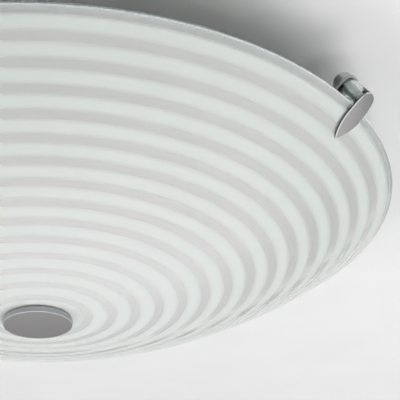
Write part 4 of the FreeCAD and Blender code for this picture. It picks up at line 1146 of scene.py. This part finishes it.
def ceiling():
    """Ceiling, open over the pan so that the pan's inside gets light from above."""
    verts = []
    for radius in (CEILING_OPEN_R, CEILING_R):
        verts += circle(radius, CEILING_Z, CEILING_STEPS)
    faces = []
    for k in range(CEILING_STEPS):
        nxt = (k + 1) % CEILING_STEPS
        faces.append((k, nxt, CEILING_STEPS + nxt, CEILING_STEPS + k))
    stage_sheet("ceiling", verts, faces, ceiling_paint())


def floor():
    corners = [(x * FLOOR_HALF, y * FLOOR_HALF, FLOOR_Z)
               for x, y in ((-1, -1), (1, -1), (1, 1), (-1, 1))]
    stage_sheet("floor", corners, [(0, 1, 2, 3)], floor_paint())


def world_light():
    """Weak even light, which the camera, gloss and glass see pale."""
    world = bpy.data.worlds.new("studio")
    bpy.context.scene.world = world
    world.use_nodes = True
    tree = world.node_tree
    background = tree.nodes["Background"]
    background.inputs["Color"].default_value = (1, 1, 1, 1)
    path = tree.nodes.new("ShaderNodeLightPath").outputs
    seen = path["Is Camera Ray"]
    for kind in ("Is Glossy Ray", "Is Transmission Ray"):
        either = tree.nodes.new("ShaderNodeMath")
        either.operation = "MAXIMUM"
        tree.links.new(seen, either.inputs[0])
        tree.links.new(path[kind], either.inputs[1])
        seen = either.outputs[0]
    strength = tree.nodes.new("ShaderNodeMapRange")
    strength.inputs["To Min"].default_value = WORLD_LIGHT
    strength.inputs["To Max"].default_value = WORLD_SEEN
    tree.links.new(seen, strength.inputs["Value"])
    tree.links.new(strength.outputs["Result"], background.inputs["Strength"])


def area_light(name, place, size, power):
    """Round lamp that gloss doesn't show."""
    data = bpy.data.lights.new(name, "AREA")
    data.shape = "DISK"
    data.size = size
    data.energy = power
    light = bpy.data.objects.new(name, data)
    light.visible_glossy = False
    light.location = place
    light.rotation_mode = "QUATERNION"
    light.rotation_quaternion = (Vector(LIGHT_AIM) - Vector(place)).to_track_quat("-Z", "Y")
    bpy.context.scene.collection.objects.link(light)
    return data


def lights():
    for light in STUDIO_LIGHTS:
        area_light(*light)
    area_light(*PAN_LIGHT).spread = PAN_LIGHT_SPREAD


def camera():
    """The photograph's camera: below the light, looking up across it."""
    yaw, pitch, roll = (math.radians(a) for a in (CAMERA_YAW, CAMERA_PITCH, CAMERA_ROLL))
    forward = Vector((math.sin(yaw) * math.cos(pitch), math.cos(yaw) * math.cos(pitch),
                      math.sin(pitch)))
    level = Vector((math.cos(yaw), -math.sin(yaw), 0))
    above = level.cross(forward)
    right = level * math.cos(roll) + above * math.sin(roll)
    over = above * math.cos(roll) - level * math.sin(roll)
    data = bpy.data.cameras.new("camera")
    data.sensor_width = CAMERA_SENSOR
    data.lens = CAMERA_LENS
    data.clip_start = 0.01
    data.clip_end = 100
    piece = bpy.data.objects.new("camera", data)
    turn = Matrix((right, over, -forward)).transposed().to_4x4()
    piece.matrix_world = Matrix.Translation(Vector(CAMERA_AT) * MM) @ turn
    bpy.context.scene.collection.objects.link(piece)
    bpy.context.scene.camera = piece


bpy.context.scene.view_settings.view_transform = "Standard"
dress_nodes()
shade()
disc()
strap_fasteners()
centre_nut()
clamp_screws()
earth_screw()
clips_and_lamps()
ceiling()
floor()
world_light()
lights()
camera()
